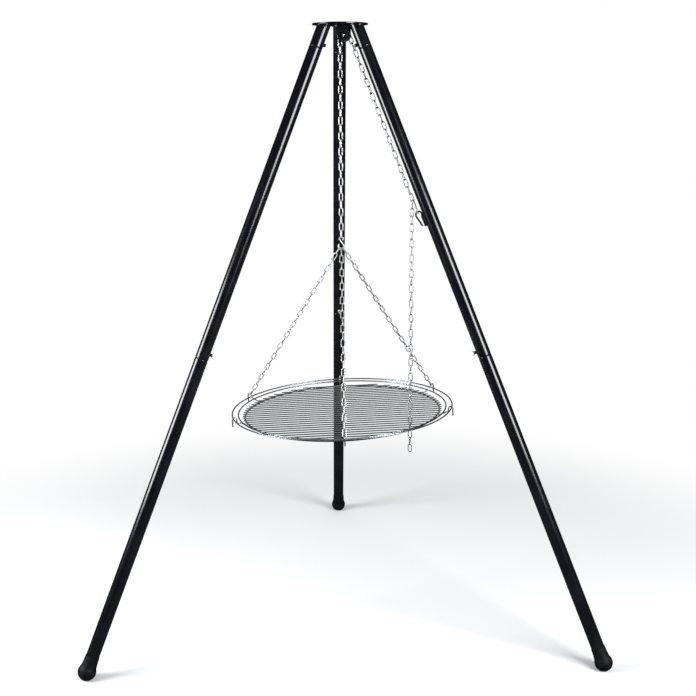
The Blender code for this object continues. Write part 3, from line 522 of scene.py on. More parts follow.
FOOT_BALL_RADIUS = 0.026
CAP_BORE = TUBE_RADIUS + GAP
CAP_WALL = 0.003
CAP_RADIUS = CAP_BORE + CAP_WALL
CAP_HEIGHT = 0.045
MOUTH = 0.0005
MOUTH_STEPS = 6
SWELL_STEPS = (0.15, 0.3, 0.45, 0.6, 0.75, 0.9)
BALL_STEPS = 24
RUBBER_COLOUR = (0.0025, 0.0025, 0.0028, 1)
RUBBER_BLOOM = (0.0060, 0.0060, 0.0060, 1)
RUBBER_ROUGHNESS = 0.50
RUBBER_IOR = 1.30
RUBBER_BUMP = (0.25, 0.0003)
GRAIN = (1800, 2.0)
BLOOM = (60, 3.0)
BLOOM_SPAN = (0.45, 0.8)
BLOOM_ROUGHNESS = 0.18


def foot_rubber():
    """Moulded rubber: a fine matt grain and a faint greyish bloom."""
    material, sheet = new_material("foot_rubber")
    grain = noise(sheet, *GRAIN)
    bloom = noise(sheet, *BLOOM)
    shade(sheet, {
        "Base Color": sheet.mix(bloom.smooth(*BLOOM_SPAN), RUBBER_COLOUR, RUBBER_BLOOM),
        "Roughness": RUBBER_ROUGHNESS + bloom * BLOOM_ROUGHNESS,
        "Normal": bump(sheet, grain, *RUBBER_BUMP),
        "IOR": RUBBER_IOR,
    })
    return material


def foot_cap():
    """Cap in the leg frame, its ball cut by the ground."""
    middle = -FOOT_DISTANCE
    mouth = middle + CAP_HEIGHT - MOUTH
    start = asin(CAP_RADIUS / FOOT_BALL_RADIUS)
    swell = CAP_RADIUS - CAP_BORE - 2 * MOUTH
    drop = mouth - middle - FOOT_BALL_RADIUS * cos(start)
    profile = [(0, middle + FOOT_FLOOR), (CAP_BORE, middle + FOOT_FLOOR), (CAP_BORE, mouth)]
    profile += arc(MOUTH, pi, 0, MOUTH_STEPS, (CAP_BORE + MOUTH, mouth))
    profile += [(CAP_BORE + 2 * MOUTH + swell * share ** 2, mouth - drop * share)
                for share in SWELL_STEPS]
    ball = arc(FOOT_BALL_RADIUS, pi / 2 - start, -pi / 2, BALL_STEPS, (0, middle))
    profile += ball[:-1] + [(0, middle - FOOT_BALL_RADIUS)]
    shape = revolve(profile, TUBE_SEGMENTS)
    ground_normal = Vector((-sin(LEG_SPLAY), 0, cos(LEG_SPLAY)))
    cut = bmesh.ops.bisect_plane(
        shape, geom=shape.verts[:] + shape.edges[:] + shape.faces[:],
        plane_co=ground_normal * -HEIGHT, plane_no=ground_normal, clear_inner=True,
    )["geom_cut"]
    sole = [item for item in cut if isinstance(item, bmesh.types.BMEdge)]
    bmesh.ops.contextual_create(shape, geom=sole)
    return shape


RUBBER = foot_rubber()

for side, azimuth in LEG_AZIMUTHS.items():
    cap = place("foot_cap_" + side, foot_cap(), RUBBER, leg_place(azimuth))
    stand_for(cap, "foot_" + side, "lower_leg_" + side)


# Clamp screws: a hexagonal weld nut on the leg's inner side at each plug joint, painted
# with the tube, and a zinc-plated wing screw that pins the spigot.

NUT_POINTS = 36
NUT_FACE = 0.96
NUT_CHAMFER = radians(30)
BOSS_RADIUS = 0.00525
BOSS_HEIGHT = 0.0065
BOSS_SINK = 0.0008
BOSS_BEAD = 0.0010
BOSS_BEAD_LIFT = 0.0002
BOSS_BEAD_POINTS = 72
BOSS_BEAD_RIPPLE = 0.0012
SCREW_SETBACK = 0.018
SCREW_TURN = Matrix.Rotation(pi / 2, 4, "Y")
SCREW_RADIUS = 0.003
SCREW_TIP = 0.0006
SCREW_SEGMENTS = 32
SCREW_BEVEL = 0.0003
THREADS = 9
THREAD_DEPTH = 0.0003
THREAD_ENDS = 0.0008
COLLAR_RADIUS = 0.0045
COLLAR_HEIGHT = 0.0015
COLLAR_EDGE = 0.0003
SCREW_CROWN = ((0.0040, 0), (0.0024, 0.0012), (0.0020, 0.0026), (0, 0.0030))  # radius, height
EAR_THICKNESS = 0.0030
EAR_SINK = 0.0004
EAR_OUTLINE = (  # across and up, in metres
    (0.0006, 0), (0.004125, 0.0006), (0.00645, 0.0020), (0.0075, 0.00372), (0.007275, 0.005456),
    (0.0060, 0.0062), (0.0045, 0.00558), (0.00285, 0.00341), (0.0006, 0.002604),
)
CORNER_LIMIT = radians(50)
ZINC_COLOUR = (0.80, 0.81, 0.82, 1)
ZINC_STRAW = (0.66, 0.65, 0.62, 1)
ZINC_ROUGHNESS = 0.33
DULL_ZINC_COLOUR = (0.88, 0.88, 0.89, 1)
DULL_ZINC_STRAW = (0.74, 0.73, 0.70, 1)
DULL_ZINC_ROUGHNESS = 0.52
WELD_GREY = (0.20, 0.20, 0.19, 1)
ZINC_BUMP = (0.08, 0.0001)
ZINC_CLOUD = (120, 3.0)
ZINC_PITS = (2200, 2.0)
CLOUD_SPAN = (0.35, 0.70)
CLOUD_ROUGHNESS = 0.12
WELD_SHARE = 0.75
WELD_ROUGHNESS = 0.2


def hex_nut(radius, base, top, bore):
    """Hexagonal nut along Z with the curved corners that its turned chamfer leaves."""
    shape = bmesh.new()
    flat = radius * cos(pi / 6)
    face = flat * NUT_FACE
    rings = [[], [], [], [], []]
    for i in range(NUT_POINTS):
        angle = 2 * pi * i / NUT_POINTS
        reach = flat / cos((angle + pi / 6) % (pi / 3) - pi / 6)
        chamfer = top - (reach - face) * tan(NUT_CHAMFER)
        section = ((reach, base), (reach, chamfer), (face, top), (bore, top), (bore, base))
        for ring, (r, z) in zip(rings, section):
            ring.append(shape.verts.new((r * cos(angle), r * sin(angle), z)))
    skin(shape, rings, True)
    return shape


def near_weld(sheet):
    """The shape's own measure of how near a point is to a weld, from 0 to 1."""
    return sheet.node("ShaderNodeAttribute", {"attribute_name": "weld"}, output="Fac")


def plated_zinc(name, colour, tint, roughness):
    """Bright zinc: a slightly blue and straw cloud, fine pits and matt weld spots."""
    material, sheet = new_material(name)
    cloud = noise(sheet, *ZINC_CLOUD)
    pits = noise(sheet, *ZINC_PITS)
    weld = near_weld(sheet)
    plain = sheet.mix(cloud.smooth(*CLOUD_SPAN), colour, tint)
    shade(sheet, {
        "Base Color": sheet.mix(weld * WELD_SHARE, plain, WELD_GREY),
        "Metallic": 1.0,
        "Roughness": roughness + cloud * CLOUD_ROUGHNESS + weld * WELD_ROUGHNESS,
        "Normal": bump(sheet, pits + weld * cloud, *ZINC_BUMP),
    })
    return material


def wing_screw():
    """Turned shank and collar with two flared ears."""
    start = TUBE_BORE + SCREW_TIP
    seat = TUBE_RADIUS + BOSS_HEIGHT + GAP
    head = seat + COLLAR_HEIGHT
    pitch = (seat - TUBE_BORE - THREAD_ENDS) / THREADS
    profile = [(0, TUBE_BORE), (SCREW_RADIUS - SCREW_TIP, TUBE_BORE), (SCREW_RADIUS, start)]
    for i in range(THREADS):
        z = start + pitch * i
        profile += [(SCREW_RADIUS - THREAD_DEPTH, z + pitch * 0.5), (SCREW_RADIUS, z + pitch)]
    profile += [(SCREW_RADIUS, seat), (COLLAR_RADIUS - COLLAR_EDGE, seat)]
    profile += [(COLLAR_RADIUS, seat + COLLAR_EDGE), (COLLAR_RADIUS, head - COLLAR_EDGE)]
    profile += [(r, head + z) for r, z in SCREW_CROWN]
    shape = revolve(profile, SCREW_SEGMENTS)
    for turn in (1, -1):
        base = [shape.verts.new((x * turn, -EAR_THICKNESS / 2, head - EAR_SINK + z))
                for x, z in EAR_OUTLINE]
        face = shape.faces.new(base if turn > 0 else list(reversed(base)))
        made = bmesh.ops.extrude_face_region(shape, geom=[face])["geom"]
        raised = [item for item in made if isinstance(item, bmesh.types.BMVert)]
        bmesh.ops.translate(shape, verts=raised, vec=(0, EAR_THICKNESS, 0))
    return shape


def soften(piece, width, segments=2):
    """Break the piece's hard corners."""
    bevel = piece.modifiers.new("softened_corners", "BEVEL")
    bevel.width = width
    bevel.segments = segments
    bevel.harden_normals = True
    bevel.limit_method = "ANGLE"
    bevel.angle_limit = CORNER_LIMIT


ZINC = plated_zinc("bright_zinc", ZINC_COLOUR, ZINC_STRAW, ZINC_ROUGHNESS)
DULL_ZINC = plated_zinc("dull_zinc", DULL_ZINC_COLOUR, DULL_ZINC_STRAW, DULL_ZINC_ROUGHNESS)

for side, azimuth in LEG_AZIMUTHS.items():
    for joint, end, body in (("stub", STUB_LENGTH, "head"), ("tube", UPPER_TUBE_END, UPPER_BODIES[side])):
        where = "%s_%s" % (joint, side)
        seat = leg_place(azimuth) @ Matrix.Translation((0, 0, SCREW_SETBACK - end)) @ SCREW_TURN
        nut = hex_nut(BOSS_RADIUS, TUBE_RADIUS - BOSS_SINK, TUBE_RADIUS + BOSS_HEIGHT, SCREW_RADIUS + GAP)
        stand_for(place("weld_nut_" + where, nut, PAINT, seat), "boss_" + where, body)
        bead = [(x, y, sqrt(TUBE_RADIUS ** 2 - y ** 2) + BOSS_BEAD_LIFT)
                for x, y in circle(BOSS_RADIUS + BOSS_BEAD_LIFT, BOSS_BEAD_POINTS)]
        weld_bead("weld_boss_" + where, bead, BOSS_BEAD, seat, body,
                  ripple=BOSS_BEAD_RIPPLE)
        screw = place("wing_screw_" + where, wing_screw(), DULL_ZINC, seat)
        soften(screw, SCREW_BEVEL)
        stand_for(screw, "clamp_screw_" + where, "screw_" + where)


# Pulley: a strip bent to an inverted U and welded under the plate, painted a slightly
# lighter black, and between its cheeks a zinc-plated chain sheave on a domed bolt, which
# has a dark washer under its head and a nut behind.

PULLEY_TURN = radians(18)
PULLEY_ACROSS = Vector((cos(PULLEY_TURN), -sin(PULLEY_TURN), 0))
PULLEY_SIDE = Vector((sin(PULLEY_TURN), cos(PULLEY_TURN), 0))
AXLE_DROP = 0.033
CHAIN_RADIUS = 0.0125
AXLE = Vector((0, AXIS_Y, HEIGHT - AXLE_DROP)) + PULLEY_ACROSS * CHAIN_RADIUS
AXLE_RADIUS = 0.003
AXLE_BORE = AXLE_RADIUS + GAP
FINE_EDGE = 0.0003
SHEAVE_RADIUS = 0.0177
SHEAVE_HALF = 0.0095
SHEAVE_HUB = 0.0080
SHEAVE_HUB_EDGE = 0.0005
SHEAVE_LIP = 0.0022
SHEAVE_EDGE = 0.0006
SHEAVE_EDGE_STEPS = 4
SHEAVE_PLAY = 0.0005
SHEAVE_SEGMENTS = 96
GROOVE_HALF = 0.0072
GROOVE_MOUTH_HALF = 0.0079
GROOVE_FLOOR = 0.01087
GROOVE_ROUND = 0.0004
SLOT_FLOOR = 0.0078
SLOT_HALF = 0.0019
CHEEK = SHEAVE_HALF + SHEAVE_PLAY
BRACKET_SHEET = 0.003
BRACKET_FACE = CHEEK + BRACKET_SHEET
BRACKET_HALF = 0.016
BRACKET_TOP = AXLE_DROP - PLATE_THICKNESS
BRACKET_BEVEL = 0.0005
BEND_RADIUS = 0.0035
INNER_BEND = BEND_RADIUS - BRACKET_SHEET * 0.8
BEND_STEPS = 6
TONGUE_STEPS = 12
TONGUE_TIP = 0.0001
BRACKET_BEAD = 0.0018
BRACKET_BEAD_HALF = 0.0155
BRACKET_BEAD_DROP = 0.0012
BEAD_STEPS = 60
NUT_HEIGHT = 0.005
NUT_RADIUS = 0.00575
WASHER_RADIUS = 0.0090
WASHER_EDGE = 0.0002
WASHER_THICKNESS = 0.0015
WASHER_TOP = BRACKET_FACE + GAP + WASHER_THICKNESS
WASHER_SEGMENTS = 64
BOLT_SEAT = WASHER_TOP + GAP
BOLT_OVERHANG = 0.0015
BOLT_END = -(BRACKET_FACE + GAP + NUT_HEIGHT + BOLT_OVERHANG)
BOLT_TIP = 0.0006
BOLT_THREADS = 7
BOLT_PITCH = 0.0009
BOLT_THREAD_DEPTH = 0.0004
BOLT_THREAD_END = 0.0068
BOLT_HEAD = 0.0050
BOLT_DOME = 0.0028
BOLT_DOME_STEPS = 10
BOLT_RIM = 0.0004
BOLT_SEGMENTS = 48
# The bracket's paint is the gloss black made slightly lighter.
LIGHTER_PAINT_COLOUR = (0.0120, 0.0130, 0.0145, 1)
LIGHTER_PAINT_DUSTY = (0.016, 0.017, 0.018, 1)

pulley_place = Matrix((Z_AXIS, -PULLEY_ACROSS, -PULLEY_SIDE)).transposed().to_4x4()
pulley_place.translation = AXLE


def strip_face(level, crown, bend):
    """One face of the bent strip as (up, out) points, from tip to tip over the top."""
    face = [(-BRACKET_HALF * cos(pi / 2 * i / TONGUE_STEPS), level) for i in range(TONGUE_STEPS + 1)]
    face += [(crown - bend + bend * y, level - bend + bend * x)
             for x, y in arc(1, 0, pi / 2, BEND_STEPS)]
    return face + [(up, -out) for up, out in reversed(face)]


def bracket_strip():
    """Bent strip in the pulley frame: X up, Z out along the axle."""
    top = BRACKET_TOP - GAP
    outside = strip_face(BRACKET_FACE, top, BEND_RADIUS)
    inside = strip_face(CHEEK, top - BRACKET_SHEET, INNER_BEND)
    shape = bmesh.new()
    rows = []
    for (up, out), (inner_up, inner_out) in zip(outside, inside):
        half = BRACKET_HALF if up > 0 else sqrt(max(BRACKET_HALF ** 2 - up ** 2, TONGUE_TIP ** 2))
        rows.append([shape.verts.new(corner) for corner in (
            (up, -half, out), (up, half, out), (inner_up, half, inner_out), (inner_up, -half, inner_out))])
    skin(shape, rows, False)
    return shape


LIGHTER_PAINT = gloss_paint("lighter_black_paint", LIGHTER_PAINT_COLOUR, LIGHTER_PAINT_DUSTY)

bracket = place("pulley_strip", bracket_strip(), LIGHTER_PAINT, pulley_place)
soften(bracket, BRACKET_BEVEL)
stand_for(bracket, "pulley_bracket", "head")
for name, z in (("front", BRACKET_FACE), ("back", -BRACKET_FACE)):
    bead = [(BRACKET_TOP - BRACKET_BEAD_DROP, BRACKET_BEAD_HALF * (2 * i / BEAD_STEPS - 1), z)
            for i in range(BEAD_STEPS + 1)]
    weld_bead("weld_bracket_" + name, bead, BRACKET_BEAD, pulley_place, "head", False)

rounding = (SHEAVE_RADIUS - SHEAVE_EDGE, SHEAVE_HALF - SHEAVE_EDGE)
half_profile = [
    (AXLE_BORE, SHEAVE_HALF), (SHEAVE_HUB - SHEAVE_HUB_EDGE, SHEAVE_HALF),
    (SHEAVE_HUB, SHEAVE_HALF - FINE_EDGE), (SHEAVE_RADIUS - SHEAVE_LIP, SHEAVE_HALF - FINE_EDGE),
    *arc(SHEAVE_EDGE, pi / 2, 0, SHEAVE_EDGE_STEPS, rounding),
    (SHEAVE_RADIUS, GROOVE_MOUTH_HALF + FINE_EDGE), (SHEAVE_RADIUS - FINE_EDGE, GROOVE_MOUTH_HALF),
    (GROOVE_FLOOR + GROOVE_ROUND, GROOVE_HALF), (GROOVE_FLOOR, GROOVE_HALF - GROOVE_ROUND),
    (GROOVE_FLOOR, SLOT_HALF + FINE_EDGE), (GROOVE_FLOOR - FINE_EDGE, SLOT_HALF), (SLOT_FLOOR, SLOT_HALF),
]
profile = half_profile + [(r, -z) for r, z in reversed(half_profile)]
sheave = place("chain_sheave", revolve(profile, SHEAVE_SEGMENTS, True), ZINC, pulley_place)
stand_for(sheave, "sheave", "sheave")

profile = [(0, BOLT_END), (AXLE_RADIUS - BOLT_TIP, BOLT_END)]
for i in range(BOLT_THREADS):
    z = BOLT_END + BOLT_RIM + i * BOLT_PITCH
    profile += [(AXLE_RADIUS, z), (AXLE_RADIUS - BOLT_THREAD_DEPTH, z + BOLT_PITCH / 2)]
profile += [(AXLE_RADIUS, BOLT_END + BOLT_THREAD_END), (AXLE_RADIUS, BOLT_SEAT)]
profile += [(BOLT_HEAD - WASHER_EDGE, BOLT_SEAT), (BOLT_HEAD, BOLT_SEAT + FINE_EDGE)]
profile += [(BOLT_HEAD * cos(a), BOLT_SEAT + BOLT_RIM + BOLT_DOME * sin(a))
            for a in [pi / 2 * i / BOLT_DOME_STEPS for i in range(BOLT_DOME_STEPS)]]
profile += [(0, BOLT_SEAT + BOLT_RIM + BOLT_DOME)]
bolt = place("domed_bolt", revolve(profile, BOLT_SEGMENTS), ZINC, pulley_place)
stand_for(bolt, "axle_bolt", "head")

base = BRACKET_FACE + GAP
ring = [
    (AXLE_BORE, base), (WASHER_RADIUS - WASHER_EDGE, base), (WASHER_RADIUS, base + FINE_EDGE),
    (WASHER_RADIUS, WASHER_TOP - FINE_EDGE), (WASHER_RADIUS - WASHER_EDGE, WASHER_TOP),
    (AXLE_BORE, WASHER_TOP),
]
washer = place("bolt_washer", revolve(ring, WASHER_SEGMENTS, True), PAINT, pulley_place)
stand_for(washer, "axle_washer", "head")
nut = hex_nut(NUT_RADIUS, base, base + NUT_HEIGHT, AXLE_BORE)
nut_place = pulley_place @ Matrix.Rotation(pi, 4, "X")
stand_for(place("bolt_nut", nut, ZINC, nut_place), "axle_nut", "head")


# Chain: short links of 3 mm wire, each bent to an oval and closed by a butt weld on one
# side, then zinc plated. One run passes over the sheave, one holds the grate, one goes to
# the leg hook and its spare length hangs from there.

LINK_WIRE = 0.0015
LINK_HALF_WIDTH = 0.00508
LINK_SIDES = 12
LINK_BEND_STEPS = 9
LINK_BACK = (0.5, 0, -0.5)
LINK_WELD = (  # place along the welded side, thickness, nearness of the weld
    (-0.5, 1.0, 0), (-0.12, 1.0, 0), (-0.05, 1.10, 0.7), (0, 1.15, 1),
    (0.05, 1.10, 0.7), (0.12, 1.0, 0), (0.5, 1.0, 0),
)
TWIST = radians(7)
WOBBLE_QUICK = 2.4
WOBBLE_SLOW = 1.3
WOBBLE_START = 0.7
SHORT_RUN = 3  # a run of so few links has no twist
CHAINS = {  # node, body, start, end, links, direction of the first link's width
    "over_sheave_left": ("wrap_link_left", "head", (0, -0.21124, 1.78070), (0, -0.21124, 1.75870), 1,
                         (0.30902, 0.95106, 0)),
    "over_sheave_right": ("wrap_link_right", "head", (0.01749, -0.21692, 1.78458),
                          (0.02595, -0.21967, 1.76446), 1, (0.30902, 0.95106, 0)),
    "over_sheave_top": ("wrap_link_top", "head", (-0.00175, -0.21067, 1.78164),
                        (0.01873, -0.21732, 1.78619), 1, (-0.19656, 0.06387, 0.97841)),
    "pull_run": ("pull_chain", "head", (0.02578, -0.21956, 1.76492), (0.20196, -0.32787, 1.30556), 23,
                 (0.87115, -0.28344, 0.40095)),
    "long_link": ("hook_link", "head", (0.20280, -0.32790, 1.30846), (0.21621, -0.33611, 1.27386), 1,
                  (-0.34459, -0.93462, 0.08798)),
    "tail_last_link": ("tail_end_link", "tail_end", (0.19961, -0.32680, 0.58066),
                       (0.19961, -0.32680, 0.55866), 1, (0.93826, -0.34593, 0)),
    "load_first_link": ("load_link_top", "swing_link", (0, -0.21124, 1.75900), (0, -0.21124, 1.73700), 1,
                        (0.95106, -0.30902, 0)),
    "load_last_link": ("load_link_bottom", "hoisted_link", (0, -0.21124, 1.20960),
                       (0, -0.21124, 1.18760), 1, (0.30902, 0.95106, 0)),
    "grate_run_left": ("sub_chain_left", "grate", (-0.00483, -0.21221, 1.15861),
                       (-0.29259, -0.04264, 0.66404), 27, (0.36641, 0.92464, 0.10382)),
    "grate_run_right": ("sub_chain_right", "grate", (0.00482, -0.21222, 1.15850),
                        (0.29087, -0.04267, 0.68858), 27, (-0.37967, 0.91963, 0.10068)),
    "grate_run_front": ("sub_chain_front", "grate", (0, -0.20980, 1.15477), (-0.00084, -0.54836, 0.67636),
                        26, (-0.00001, 0.81628, -0.57765)),
}
MOVING_RUNS = {  # node, body at the start, body at the end, start, end, links, width
    "load_run": ("load_chain", "load", "hoisted_link", (0, -0.21124, 1.73730), (0, -0.21124, 1.20930), 24,
                 (0.30902, 0.95106, 0)),
    "tail_run": ("tail_chain", "head", "tail_end", (0.19961, -0.32680, 1.30636),
                 (0.19961, -0.32680, 0.58036), 33, (-0.34593, -0.93826, 0)),
}


def link_path(pitch):
    """Centreline of a link as (across, along) points, starting on its welded side."""
    reach = pitch / 2 + LINK_WIRE - LINK_HALF_WIDTH
    points = [(LINK_HALF_WIDTH, reach * t) for t, _, _ in LINK_WELD]
    points += arc(LINK_HALF_WIDTH, 0, pi, LINK_BEND_STEPS, (0, reach))
    points += [(-LINK_HALF_WIDTH, reach * t) for t in LINK_BACK]
    points += arc(LINK_HALF_WIDTH, pi, 2 * pi, LINK_BEND_STEPS, (0, -reach))
    return points


def add_link(shape, layer, centre, along, wide, pitch):
    path = link_path(pitch)
    plain = len(path) - len(LINK_WELD)
    points = [centre + wide * x + along * y for x, y in path]
    swell = [thickness for _, thickness, _ in LINK_WELD] + [1.0] * plain
    known = len(shape.verts)
    tube_along(shape, points, LINK_WIRE, LINK_SIDES, True, swell, along.cross(wide))
    shape.verts.ensure_lookup_table()
    for i, amount in enumerate([nearness for _, _, nearness in LINK_WELD] + [0] * plain):
        for k in range(LINK_SIDES):
            shape.verts[known + i * LINK_SIDES + k][layer] = amount


def wobble(number):
    """A steady small turn for link after link, so that a run doesn't look stamped."""
    return TWIST * sin(number * WOBBLE_QUICK) * cos(number * WOBBLE_SLOW + WOBBLE_START)


def chain(name, start, end, links, wide):
    """Run of links between two points. Neighbours turn a quarter against each other."""
    shape = bmesh.new()
    layer = shape.verts.layers.float.new("weld")
    start, end, wide = Vector(start), Vector(end), Vector(wide)
    along = (end - start).normalized()
    pitch = (end - start).length / links
    wide = (wide - along * wide.dot(along)).normalized()
    for i in range(links):
        twist = wobble(i) if links > SHORT_RUN else 0
        turned = Matrix.Rotation(twist, 3, along) @ wide
        side = 1 if i % 4 < 2 else -1
        add_link(shape, layer, start + along * pitch * (i + 0.5), along, turned * side, pitch)
        wide = along.cross(wide)
    return place(name, shape, ZINC)


for name, (node, body, start, end, links, wide) in CHAINS.items():
    stand_for(chain(name, start, end, links, wide), node, body)
for name, (node, first_body, last_body, start, end, links, wide) in MOVING_RUNS.items():
    run = chain(name, start, end, links, wide)
    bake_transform(run)
    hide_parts(node)


# Leg hook: a strip welded along the right leg's inner side with a bent round rod that
# grows from its upper end, painted with the leg. The chain's long link drops over it.

STRIP_START = 0.572
STRIP_END = 0.606
STRIP_HEIGHT = 0.008
STRIP_SINK = 0.0010
STRIP_HALF = 0.0025
STRIP_BEVEL = 0.0008
HOOK_BEAD = 0.0012
HOOK_BEAD_SINK = 0.0001
HOOK_BEAD_SPREAD = 1.15
HOOK_BEAD_START = 0.002
HOOK_BEAD_LENGTH = 0.030
HOOK_RADIUS = 0.0025
HOOK_SIDES = 16
HOOK_ROOT = 0.001
HOOK_BEND = 0.0095
HOOK_BEND_OFFSET = 0.004
HOOK_BEND_STEPS = 28
HOOK_TIP = 0.031
HOOK_TIP_STOPS = (0.05, 0.5, 1.0)
HOOK_TIP_TURN = LEG_SPLAY - radians(10)

hook_leg = leg_place(LEG_AZIMUTHS["right"])
low, high = TUBE_RADIUS - STRIP_SINK, TUBE_RADIUS + GAP + STRIP_HEIGHT
shape = bmesh.new()
bmesh.ops.create_cube(shape, size=1)
bmesh.ops.scale(shape, vec=(high - low, 2 * STRIP_HALF, STRIP_END - STRIP_START), verts=shape.verts)
bmesh.ops.translate(shape, vec=((low + high) / 2, 0, -(STRIP_START + STRIP_END) / 2), verts=shape.verts)
strip = place("hook_bar", shape, PAINT, hook_leg)
soften(strip, STRIP_BEVEL, segments=3)
stand_for(strip, "hook_strip", "head")
for name, y in (("front", STRIP_HALF), ("back", -STRIP_HALF)):
    bead = [(TUBE_RADIUS - HOOK_BEAD_SINK, y * HOOK_BEAD_SPREAD,
             -STRIP_START - HOOK_BEAD_START - HOOK_BEAD_LENGTH * i / BEAD_STEPS)
            for i in range(BEAD_STEPS + 1)]
    weld_bead("weld_hook_" + name, bead, HOOK_BEAD, hook_leg, "head", False)

shank = TUBE_RADIUS + GAP + STRIP_HEIGHT / 2
centre = (shank + HOOK_BEND, HOOK_BEND_OFFSET - STRIP_START)
points = [Vector((shank, 0, -STRIP_START - HOOK_ROOT)), Vector((shank, 0, -STRIP_START + HOOK_ROOT))]
points += [Vector((x, 0, z)) for x, z in arc(HOOK_BEND, pi, -HOOK_TIP_TURN, HOOK_BEND_STEPS, centre)]
fall = Vector((-sin(HOOK_TIP_TURN), 0, -cos(HOOK_TIP_TURN))) * HOOK_TIP
points += [points[-1] + fall * share for share in HOOK_TIP_STOPS]
rod = place("hook_rod", tube_along(bmesh.new(), points, HOOK_RADIUS, HOOK_SIDES), PAINT, hook_leg)
stand_for(rod, "leg_hook", "head")


# S-hook: one length of zinc-plated round steel bent to an S. Its small upper bend holds
# the load chain and its wide lower bend the grate's three chains.

S_WIRE = 0.0021
S_SIDES = 16
S_TOP_RADIUS = 0.0055
S_TOP_OPENING = radians(8)
S_TOP_STEPS = 24
S_BOTTOM_RADIUS = 0.0085
S_BOTTOM_STEPS = 28
S_CENTRES = 0.024
S_TIP = 0.005
S_LEAN = radians(15)
S_TOP = Vector((0, AXIS_Y, 1.18521))

cross = asin((S_TOP_RADIUS + S_BOTTOM_RADIUS) / S_CENTRES)
outline = arc(S_TOP_RADIUS, -S_TOP_OPENING, pi + cross, S_TOP_STEPS)
outline += arc(S_BOTTOM_RADIUS, cross, -pi - S_LEAN, S_BOTTOM_STEPS, (0, -S_CENTRES))
points = [Vector((x, 0, z)) for x, z in outline]
points.insert(0, points[0] - Z_AXIS * S_TIP / 2)
points.append(points[-1] + Vector((sin(S_LEAN), 0, cos(S_LEAN))) * S_TIP)
shape = tube_along(bmesh.new(), points, S_WIRE, S_SIDES)
stand_for(place("bent_s_hook", shape, ZINC, Matrix.Translation(S_TOP)), "s_hook", "grate")


# Grate: bright-drawn stainless wire. Parallel bars lie on a thicker edge ring, spot
# welded, with a cross bar underneath. Six bent uprights carry two thin rim rings, and
# three of them hold the chains.

GRATE_HEIGHT = 0.6530
GRATE_TILT = radians(2.4)
WIRE_SIDES = 12
RING_SEGMENTS = 180
EDGE_RADIUS = 0.2985
EDGE_WIRE = 0.0025
RIM_WIRE = 0.0020
MIDDLE_RADIUS = 0.3185
MIDDLE_LEVEL = 0.01099
TOP_RADIUS = 0.3372
TOP_LEVEL = 0.0141
RINGS = {  # node, radius, wire, level
    "grate_edge_ring": ("edge_ring", EDGE_RADIUS, EDGE_WIRE, 0),
    "grate_middle_rim": ("rim_ring_middle", MIDDLE_RADIUS, RIM_WIRE, MIDDLE_LEVEL),
    "grate_top_rim": ("rim_ring_top", TOP_RADIUS, RIM_WIRE, TOP_LEVEL),
}
BAR_WIRE = 0.0020
BAR_LEVEL = EDGE_WIRE + GAP + BAR_WIRE
BAR_PITCH = 0.0214
BARS_EACH_SIDE = 13
BAR_OVERHANG = 0.006
BAR_STOPS = (-1, -0.985, -0.97, -0.95, -0.5, -0.05, 0, 0.05, 0.5, 0.95, 0.97, 0.985, 1)
CROSS_WIRE = 0.003
CROSS_WELD = 0.0005
CROSS_LEVEL = BAR_LEVEL - BAR_WIRE - CROSS_WIRE + CROSS_WELD
CROSS_HALF = EDGE_RADIUS - EDGE_WIRE - GAP
CROSS_STEPS = 14
UPRIGHTS = {
    "upright_chain_left": 150, "upright_chain_right": 30, "upright_chain_front": 270,
    "upright_back": 90, "upright_front_left": 198, "upright_front_right": 342,
}
UPRIGHT_FOOT = Vector((0.30166, -0.00036))
UPRIGHT_KNEE = Vector((0.3329, 0.0121))
UPRIGHT_ARCH = Vector((0.3394, 0.0201))
KNEE_START = 0.006
KNEE_MIDDLE = 0.003
KNEE_LIFT = Vector((0, 0.0004))
KNEE_END = Vector((-0.0004, 0.0012))
ARCH_RADIUS = 0.0065
ARCH_STEPS = 16
ARCH_TIP = 0.020
ARCH_TIP_STOPS = (0.3, 0.6, 1.0)
RING_TINT = 0.012
UPRIGHT_TINT = 0.008
NUGGET_TINT = 0.9
NUGGET_SEGMENTS = 10
NUGGET_RINGS = 6
EDGE_NUGGET = (0.0026, 0.0012)  # radius, height
CROSS_NUGGET = (0.0022, 0.0014)
FOOT_NUGGET = (0.0022, 0.0020)
FOOT_NUGGET_OUT = 0.0002
MIDDLE_NUGGET = (0.0020, 0.0012)
TOP_NUGGET = (0.0014, 0.0018)
WIRE_COLOUR = (0.37, 0.39, 0.42, 1)
WIRE_DULL = (0.31, 0.32, 0.33, 1)
WIRE_STRAW = (0.27, 0.23, 0.17, 1)
WIRE_ROUGHNESS = 0.24
WIRE_BUMP = (0.06, 0.0001)
DIE_LINES = (2600, 2.0)
ALONG_BARS = (0.02, 1, 1)
WIRE_CLOUD = (40, 3.0)
WIRE_CLOUD_ROUGHNESS = 0.10
STRAW_SHARE = 0.35
STRAW_ROUGHNESS = 0.15


def drawn_wire(name, stretch):
    """Bright-drawn stainless: a fine grain that stretch draws out to die lines along the
    wire, and a straw tint near the welds."""
    material, sheet = new_material(name)
    lines = noise(sheet, *DIE_LINES, stretch)
    cloud = noise(sheet, *WIRE_CLOUD)
    weld = near_weld(sheet)
    plain = sheet.mix(cloud.smooth(*CLOUD_SPAN), WIRE_COLOUR, WIRE_DULL)
    shade(sheet, {
        "Base Color": sheet.mix(weld * STRAW_SHARE, plain, WIRE_STRAW),
        "Metallic": 1.0,
        "Roughness": WIRE_ROUGHNESS + cloud * WIRE_CLOUD_ROUGHNESS + weld * STRAW_ROUGHNESS,
        "Normal": bump(sheet, lines, *WIRE_BUMP),
    })
    return material


